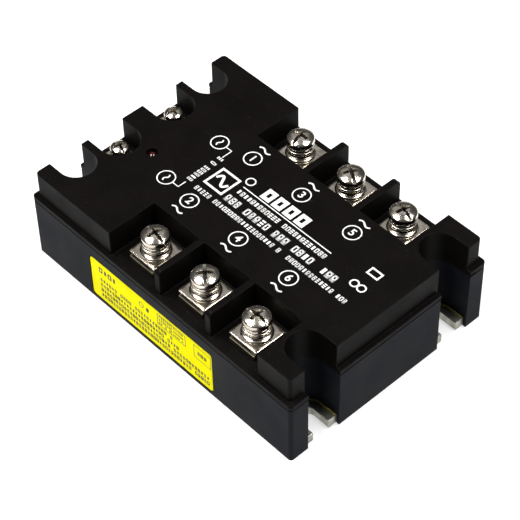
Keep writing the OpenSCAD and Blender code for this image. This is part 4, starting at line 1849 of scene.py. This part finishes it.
def marks_tree() -> GeometryTree:
    """Makes the tree that lays a row of small plain marks of uneven width, with gaps as between words.

    Returns:
        The tree.
    """
    sizes = {k: "NodeSocketFloat" for k in ("Length", "Height", "Pitch", "Thickness")}
    t = GeometryTree("row_of_marks", sizes | {"Seed": "NodeSocketInt"})
    kept_share = 0.93
    narrowest, widest = 0.58, 0.8
    stem, cap, dash = (0.31, 1.0), (1.0, 0.22), (1.0, 0.23)
    box = [(-0.38, 0.0, *stem), (0.38, 0.0, *stem), (0.0, 0.415, *cap), (0.0, -0.415, *cap)]
    kinds = (
        box,
        [*box, (0.0, 0.0, *cap)],
        [(0.0, 0.4, *dash), (0.0, 0.0, *dash), (0.0, -0.4, *dash)],
        [*box, (0.0, -0.2, 0.9, 0.4)],
        [(0.0, 0.0, 0.7, 0.9)],
    )
    signs = t.tree.nodes.new("GeometryNodeGeometryToInstance")
    for bars in kinds:
        join = t.tree.nodes.new("GeometryNodeJoinGeometry")
        for x, y, width, height in bars:
            bar = t.node("GeometryNodeMeshCube", Size=(width, height, 1.0))
            put = t.node("GeometryNodeTransform", Geometry=bar.outputs[0], Translation=(x, y, 0.0))
            t.tree.links.new(put.outputs[0], join.inputs[0])
        t.tree.links.new(join.outputs[0], signs.inputs[0])
    count = t.math("FLOOR", t.math("DIVIDE", t.given["Length"], t.given["Pitch"]))
    step = t.node("ShaderNodeCombineXYZ", X=t.given["Pitch"])
    row = t.node("GeometryNodeMeshLine", Count=count, Offset=step.outputs[0])
    keep = t.node(
        "FunctionNodeRandomValue", {"data_type": "BOOLEAN"}, Probability=kept_share, Seed=t.given["Seed"]
    )
    kept = t.node(
        "GeometryNodeSeparateGeometry", Geometry=row.outputs[0],
        Selection=next(o for o in keep.outputs if o.enabled),
    )
    width = t.node("FunctionNodeRandomValue", {"data_type": "FLOAT"}, Seed=t.given["Seed"])
    bounds = [s for s in width.inputs if s.enabled and s.name in ("Min", "Max")]
    t.feed(bounds[0], narrowest)
    t.feed(bounds[1], widest)
    wide = t.math("MULTIPLY", next(o for o in width.outputs if o.enabled), t.given["Pitch"])
    scale = t.node("ShaderNodeCombineXYZ", X=wide, Y=t.given["Height"], Z=t.given["Thickness"])
    which = t.node("FunctionNodeRandomValue", {"data_type": "INT"}, Seed=t.given["Seed"])
    ends = [s for s in which.inputs if s.enabled and s.name in ("Min", "Max")]
    t.feed(ends[0], 0)
    t.feed(ends[1], len(kinds) - 1)
    placed = t.node(
        "GeometryNodeInstanceOnPoints", Points=kept.outputs[0], Instance=signs.outputs[0], Pick_Instance=True,
        Instance_Index=next(o for o in which.outputs if o.enabled), Scale=scale.outputs[0],
    )
    t.end(placed.outputs[0])
    return t


@dataclass
class DeckPrint:
    """The white print on the deck: terminal numbers, wave signs and plain marks for the lines of print."""

    materials: Materials
    rows: GeometryTree
    term_x: tuple[float, ...] = (-13.3, 6.3, 25.8)
    number_y: float = 11.75
    wave_y: float = 16.3
    circle_r: float = 2.75
    line: float = 0.36
    supply_x: float = -24.45
    text_x: float = -19.5

    def build(self) -> None:
        """Prints the deck."""
        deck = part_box("top_cover")[1].z
        ink = self.materials.get(Finish.DECK_INK)
        sheet = InkSheet(lambda x, y, h: Vector((x, y, deck + h)), self.rows, ink)
        for k, x in enumerate(self.term_x):
            for side, digit in ((1, 2 * k + 1), (-1, 2 * k + 2)):
                sheet.ring(x, side * self.number_y, radius=self.circle_r, line=self.line)
                sheet.numeral(digit, x, side * self.number_y, height=2.5)
                sheet.wave(x + 0.1, side * self.wave_y, length=4.3, height=1.0, line=0.5)
        self.supply_print(sheet)
        self.lines_of_print(sheet)
        sheet.finish("deck_print")

    def supply_print(self, sheet: InkSheet) -> None:
        """Prints the two supply signs, their leads and the row of marks between them.

        Args:
            sheet: The sheet of print.
        """
        start = self.supply_x + self.circle_r - 0.1
        for middle, text_end in ((-10.4, -7.6), (9.5, 6.0)):
            sheet.ring(self.supply_x, middle, radius=self.circle_r, line=self.line)
            sheet.wave(self.supply_x, middle, length=2.7, height=0.7, line=0.42, turned=True)
            corner = (self.text_x, middle)
            sheet.stroke([(start, middle), corner], line=0.3)
            sheet.stroke([corner, (self.text_x, text_end)], line=0.3)
        sheet.marks(-5.8, 7.0, self.text_x, height=1.9, pitch=1.25, seed=7, turn=-90.0)

    def lines_of_print(self, sheet: InkSheet) -> None:
        """Prints the sign and the rows of marks in the middle of the deck.

        Args:
            sheet: The sheet of print.
        """
        sheet.frame_line(-12.6, -0.3, length=7.4, height=7.8, line=0.7)
        sheet.wave(-12.6, -0.3, length=4.8, height=3.2, line=0.8)
        sheet.ring(-7.0, 5.2, radius=1.55, line=0.4)
        for k in range(4):
            sheet.frame_line(0.4 + 4.35 * k, 5.2, length=3.5, height=4.2, line=1.2)
        sheet.bar(10.15, 2.4, length=34.3, height=0.3)
        sheet.marks(-7.1, 27.7, 0.35, height=1.65, pitch=1.38, seed=11)
        for seed, (start, end) in enumerate(((-7.9, 9.9), (10.9, 28.0), (29.4, 35.4)), 23):
            sheet.marks(start, end, -3.4, height=2.4, pitch=1.92, seed=seed)
        sheet.marks(-16.4, 43.0, -6.9, height=1.55, pitch=1.25, seed=31)
        sheet.frame_line(40.4, 5.6, length=4.2, height=2.8, line=0.55)
        for x in (39.0, 41.6):
            sheet.ring(x, -0.6, radius=1.4, line=0.45)


@dataclass
class RatingLabel:
    """The yellow film label on the load side, with plain marks and a generic contact sign."""

    materials: Materials
    rows: GeometryTree
    corner: float = 1.2 * MM
    edge: float = 0.03 * MM

    def build(self) -> None:
        """Builds the film and its print."""
        low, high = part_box("rating_label")
        half_w, half_h = (high.x - low.x) / 2, (high.z - low.z) / 2
        middle = (low + high) / 2
        corners = [(-half_w, -half_h), (half_w, -half_h), (half_w, half_h), (-half_w, half_h)]
        outline = rounded(corners, self.corner, 5)
        rings = []
        for shrink, depth in ((0.0, high.y), (0.0, low.y + self.edge), (self.edge, low.y)):
            share = 1 - shrink / half_h
            rings.append([Vector((middle.x + u * share, depth, middle.z + v * share)) for u, v in outline])
        bm = skin(rings, wrap=False)
        bm.verts.ensure_lookup_table()
        count = len(outline)
        bm.faces.new([bm.verts[k] for k in range(count)])
        bm.faces.new([bm.verts[2 * count + k] for k in reversed(range(count))])
        film = close_mesh(bm, "label_film")
        yellow = self.materials.get(Finish.LABEL)
        place_piece("label_film", film, CASE_BODY, yellow, ["rating_label"])

        def on_label(u: float, v: float, h: float) -> Vector:
            """Lays a plan point on the label, which reads along +X with its top at +Z."""
            return Vector((middle.x + u, low.y - h, middle.z + v))

        sheet = InkSheet(on_label, self.rows, self.materials.get(Finish.LABEL_INK))
        self.print_rows(sheet)
        sheet.finish("label_print")

    def print_rows(self, sheet: InkSheet) -> None:
        """Prints rows of plain marks, a small table and an outlined box.

        Args:
            sheet: The sheet of print.
        """
        sheet.marks(-21.6, -12.4, 4.8, height=1.9, pitch=1.9, seed=41)
        sheet.ring(-3.5, 4.6, radius=1.0, line=0.25)
        sheet.bar(-0.9, 4.4, length=1.1, height=1.6)
        for k, (end, height) in enumerate(((9.7, 1.25), (12.4, 1.25), (24.0, 1.3), (24.0, 1.3))):
            sheet.marks(-21.3, end, 0.95 - 2.08 * k, height=height, pitch=1.22, seed=42 + k)
        sheet.frame_line(8.85, 4.6, length=11.5, height=4.4, line=0.2)
        sheet.bar(8.95, 4.6, length=0.2, height=4.2)
        for k in range(3):
            row = 6.0 - 1.35 * k
            sheet.marks(3.6, 8.7, row, height=0.85, pitch=0.85, seed=51 + k)
            sheet.marks(9.5, 14.2, row, height=0.6, pitch=0.7, seed=61 + k)
        sheet.frame_line(21.3, 4.0, length=6.8, height=5.0, line=0.2)
        sheet.marks(19.2, 24.0, 4.0, height=1.3, pitch=1.3, seed=71)


@dataclass
class StatusLight:
    """The small round lens let into the deck."""

    materials: Materials
    radius: float = 1.5 * MM
    above_foot: float = 6 * MM
    flange_t: float = 1 * MM
    lead_r: float = 0.25 * MM
    lead_x: float = 1.27 * MM
    lead_in: float = 0.2 * MM
    segments: int = 40
    dome_steps: int = 10

    def build(self) -> None:
        """Builds the lens with its dome and flange, and its two leads."""
        low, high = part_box("status_led")
        middle = (low + high) / 2
        foot = high.z - self.above_foot
        lens = self.lens(foot, high.z, (high.x - low.x) / 2)
        leads = [self.lead(side * self.lead_x, low.z, foot) for side in (-1, 1)]
        mesh = joined([lens, *leads], "status_lens")
        mesh.transform(Matrix.Translation((middle.x, middle.y, 0)))
        tinted = self.materials.get(Finish.LENS)
        place_piece("status_lens", mesh, CASE_BODY, tinted, ["status_led"])

    def lens(self, foot: float, top: float, flange_r: float) -> bpy.types.Mesh:
        """Makes the lens.

        Args:
            foot: Height of the flange's underside.
            top: Height of the dome's top.
            flange_r: Radius of the flange.

        Returns:
            The mesh, on the Z axis.
        """
        r = self.radius
        dome = [
            (r * math.cos(a), top - r + r * math.sin(a))
            for a in (math.pi / 2 * k / self.dome_steps for k in range(self.dome_steps))
        ]
        step = foot + self.flange_t
        profile = [(0.0, foot), (flange_r, foot), (flange_r, step), (r, step), *dome, (0.0, top)]
        return close_mesh(revolve(profile, self.segments, wrap=False), "lens")

    def lead(self, x: float, tip: float, foot: float) -> bpy.types.Mesh:
        """Makes one lead, which runs a little way into the lens.

        Args:
            x: Place of the lead along X.
            tip: Height of its tip.
            foot: Height of the lens's flange.

        Returns:
            The mesh.
        """
        bm = bmesh.new()
        bmesh.ops.create_cone(
            bm, cap_ends=True, segments=8, radius1=self.lead_r, radius2=self.lead_r,
            depth=foot - tip + self.lead_in,
        )
        bmesh.ops.translate(bm, vec=(x, 0, (foot + tip + self.lead_in) / 2), verts=bm.verts)
        return close_mesh(bm, "lead")


@dataclass
class InnerParts:
    """The parts sealed inside, which keep their CAD shapes and get their own finishes."""

    materials: Materials
    finishes: dict[str, Finish] = field(
        default_factory=lambda: {
            "base_adhesive": Finish.ADHESIVE,
            "control_board": Finish.BOARD,
            "trigger_optocouplers": Finish.WHITE_PACKAGE,
            "snubber_capacitors": Finish.FILM_CAPACITOR,
            "snubber_resistors": Finish.BLUE_LACQUER,
            "input_rectifier": Finish.DARK_PACKAGE,
            "input_capacitor": Finish.RED_BOX,
            "input_resistors": Finish.TAN_LACQUER,
            "gate_leads": Finish.TINNED,
            "ceramic_substrate_1": Finish.CERAMIC,
            "ceramic_substrate_2": Finish.CERAMIC,
            "ceramic_substrate_3": Finish.CERAMIC,
            "thyristor_chips": Finish.SILICON,
            "cathode_straps": Finish.COPPER,
            "potting_compound": Finish.GEL,
        }
    )

    def dress(self) -> None:
        """Gives each sealed part its material."""
        for node, finish in self.finishes.items():
            mesh = frame["nodes"][node].data
            mesh.materials.clear()
            mesh.materials.append(self.materials.get(finish))
            LOG.info("%s: dressed in %s", node, finish.value.name)


# ---- Studio ----


@dataclass(frozen=True)
class SoftLight:
    """A square soft light aimed at the relay: angles in degrees, lengths in metres, power in watts."""

    name: str
    azimuth: float
    elevation: float
    distance: float
    size: float
    power: float


SOFT_LIGHTS = (
    SoftLight("back_light", azimuth=228.0, elevation=50.0, distance=1.3, size=1.1, power=1.2),
    SoftLight("left_light", azimuth=-50.0, elevation=65.0, distance=0.9, size=0.30, power=7.0),
    SoftLight("right_light", azimuth=142.0, elevation=65.0, distance=0.9, size=0.30, power=5.0),
    SoftLight("near_left_light", azimuth=-12.0, elevation=52.0, distance=0.9, size=0.22, power=2.2),
    SoftLight("near_right_light", azimuth=108.0, elevation=52.0, distance=0.9, size=0.22, power=2.2),
)


@dataclass
class Studio:
    """Floor, lights and camera."""

    materials: Materials
    azimuth: float = 47.99
    elevation: float = 47.59
    roll: float = -1.34
    camera_at: tuple[float, float, float] = (0.26787, -0.23970, 0.40248)
    lens: float = 131.8
    sensor_w: float = 36.0
    nearest: float = 0.01
    floor_half: float = 4.0
    floor_drop: float = 0.02 * MM
    middle_z: float = 0.015
    world_strength: float = 0.05

    def build(self) -> None:
        """Sets up the whole studio."""
        self.floor()
        self.lights()
        self.camera()
        settings = bpy.context.scene.view_settings
        settings.view_transform = "Standard"
        settings.look = "None"
        settings.exposure = 0.0

    def floor(self) -> None:
        """Lays a plain pale floor under the base plate."""
        bm = bmesh.new()
        bmesh.ops.create_grid(bm, x_segments=1, y_segments=1, size=self.floor_half)
        mesh = bpy.data.meshes.new("studio_floor")
        bm.to_mesh(mesh)
        bm.free()
        mesh.transform(Matrix.Translation((0, 0, -self.floor_drop)))
        floor = bpy.data.objects.new("studio_floor", mesh)
        bpy.context.scene.collection.objects.link(floor)
        mesh.materials.append(self.materials.get(Finish.FLOOR))

    def add_light(self, light: SoftLight) -> None:
        """Adds a soft light.

        Args:
            light: The light's place, size and power.
        """
        data = bpy.data.lights.new(light.name, "AREA")
        data.size, data.energy = light.size, light.power
        lamp = bpy.data.objects.new(light.name, data)
        bpy.context.scene.collection.objects.link(lamp)
        middle = Vector((0, 0, self.middle_z))
        lamp.matrix_world = self.aim(light.azimuth, light.elevation, 0.0, middle, light.distance)

    def aim(
        self, azimuth: float, elevation: float, roll: float, at: Vector, distance: float
    ) -> Matrix:
        """Places something that looks at a point.

        Args:
            azimuth: Heading in degrees; 0 looks along +Y.
            elevation: Height in degrees.
            roll: Turn about the line of sight, in degrees.
            at: The point that it looks at.
            distance: Distance from that point.

        Returns:
            The object's matrix.
        """
        az, el, ro = (math.radians(v) for v in (azimuth, elevation, roll))
        back = Vector((math.sin(az) * math.cos(el), -math.cos(az) * math.cos(el), math.sin(el)))
        right = (-back).cross(Vector((0, 0, 1))).normalized()
        up = back.cross(right)
        across = right * math.cos(ro) + up * math.sin(ro)
        upward = up * math.cos(ro) - right * math.sin(ro)
        turn = Matrix((across, upward, back)).transposed().to_4x4()
        return Matrix.Translation(at + back * distance) @ turn

    def lights(self) -> None:
        """Adds the soft lights and a pale world."""
        for light in SOFT_LIGHTS:
            self.add_light(light)
        world = bpy.data.worlds.new("studio_world")
        bpy.context.scene.world = world
        world.use_nodes = True
        background = world.node_tree.nodes["Background"]
        background.inputs["Color"].default_value = (1.0, 1.0, 1.0, 1.0)
        background.inputs["Strength"].default_value = self.world_strength

    def camera(self) -> None:
        """Places the camera."""
        data = bpy.data.cameras.new("camera")
        data.lens, data.sensor_width = self.lens, self.sensor_w
        data.clip_start = self.nearest
        camera = bpy.data.objects.new("camera", data)
        bpy.context.scene.collection.objects.link(camera)
        place = Vector(self.camera_at)
        camera.matrix_world = self.aim(self.azimuth, self.elevation, self.roll, place, 0.0)
        bpy.context.scene.camera = camera


def main() -> None:
    """Builds the relay piece by piece, then the studio."""
    logging.basicConfig(level=logging.INFO, format="%(message)s")
    materials = Materials()
    Housing(materials).build()
    BasePlate(materials).build()
    TerminalBanks(materials).build()
    rows = marks_tree()
    DeckPrint(materials, rows).build()
    RatingLabel(materials, rows).build()
    StatusLight(materials).build()
    InnerParts(materials).dress()
    Studio(materials).build()


if __name__ == "__main__":
    main()
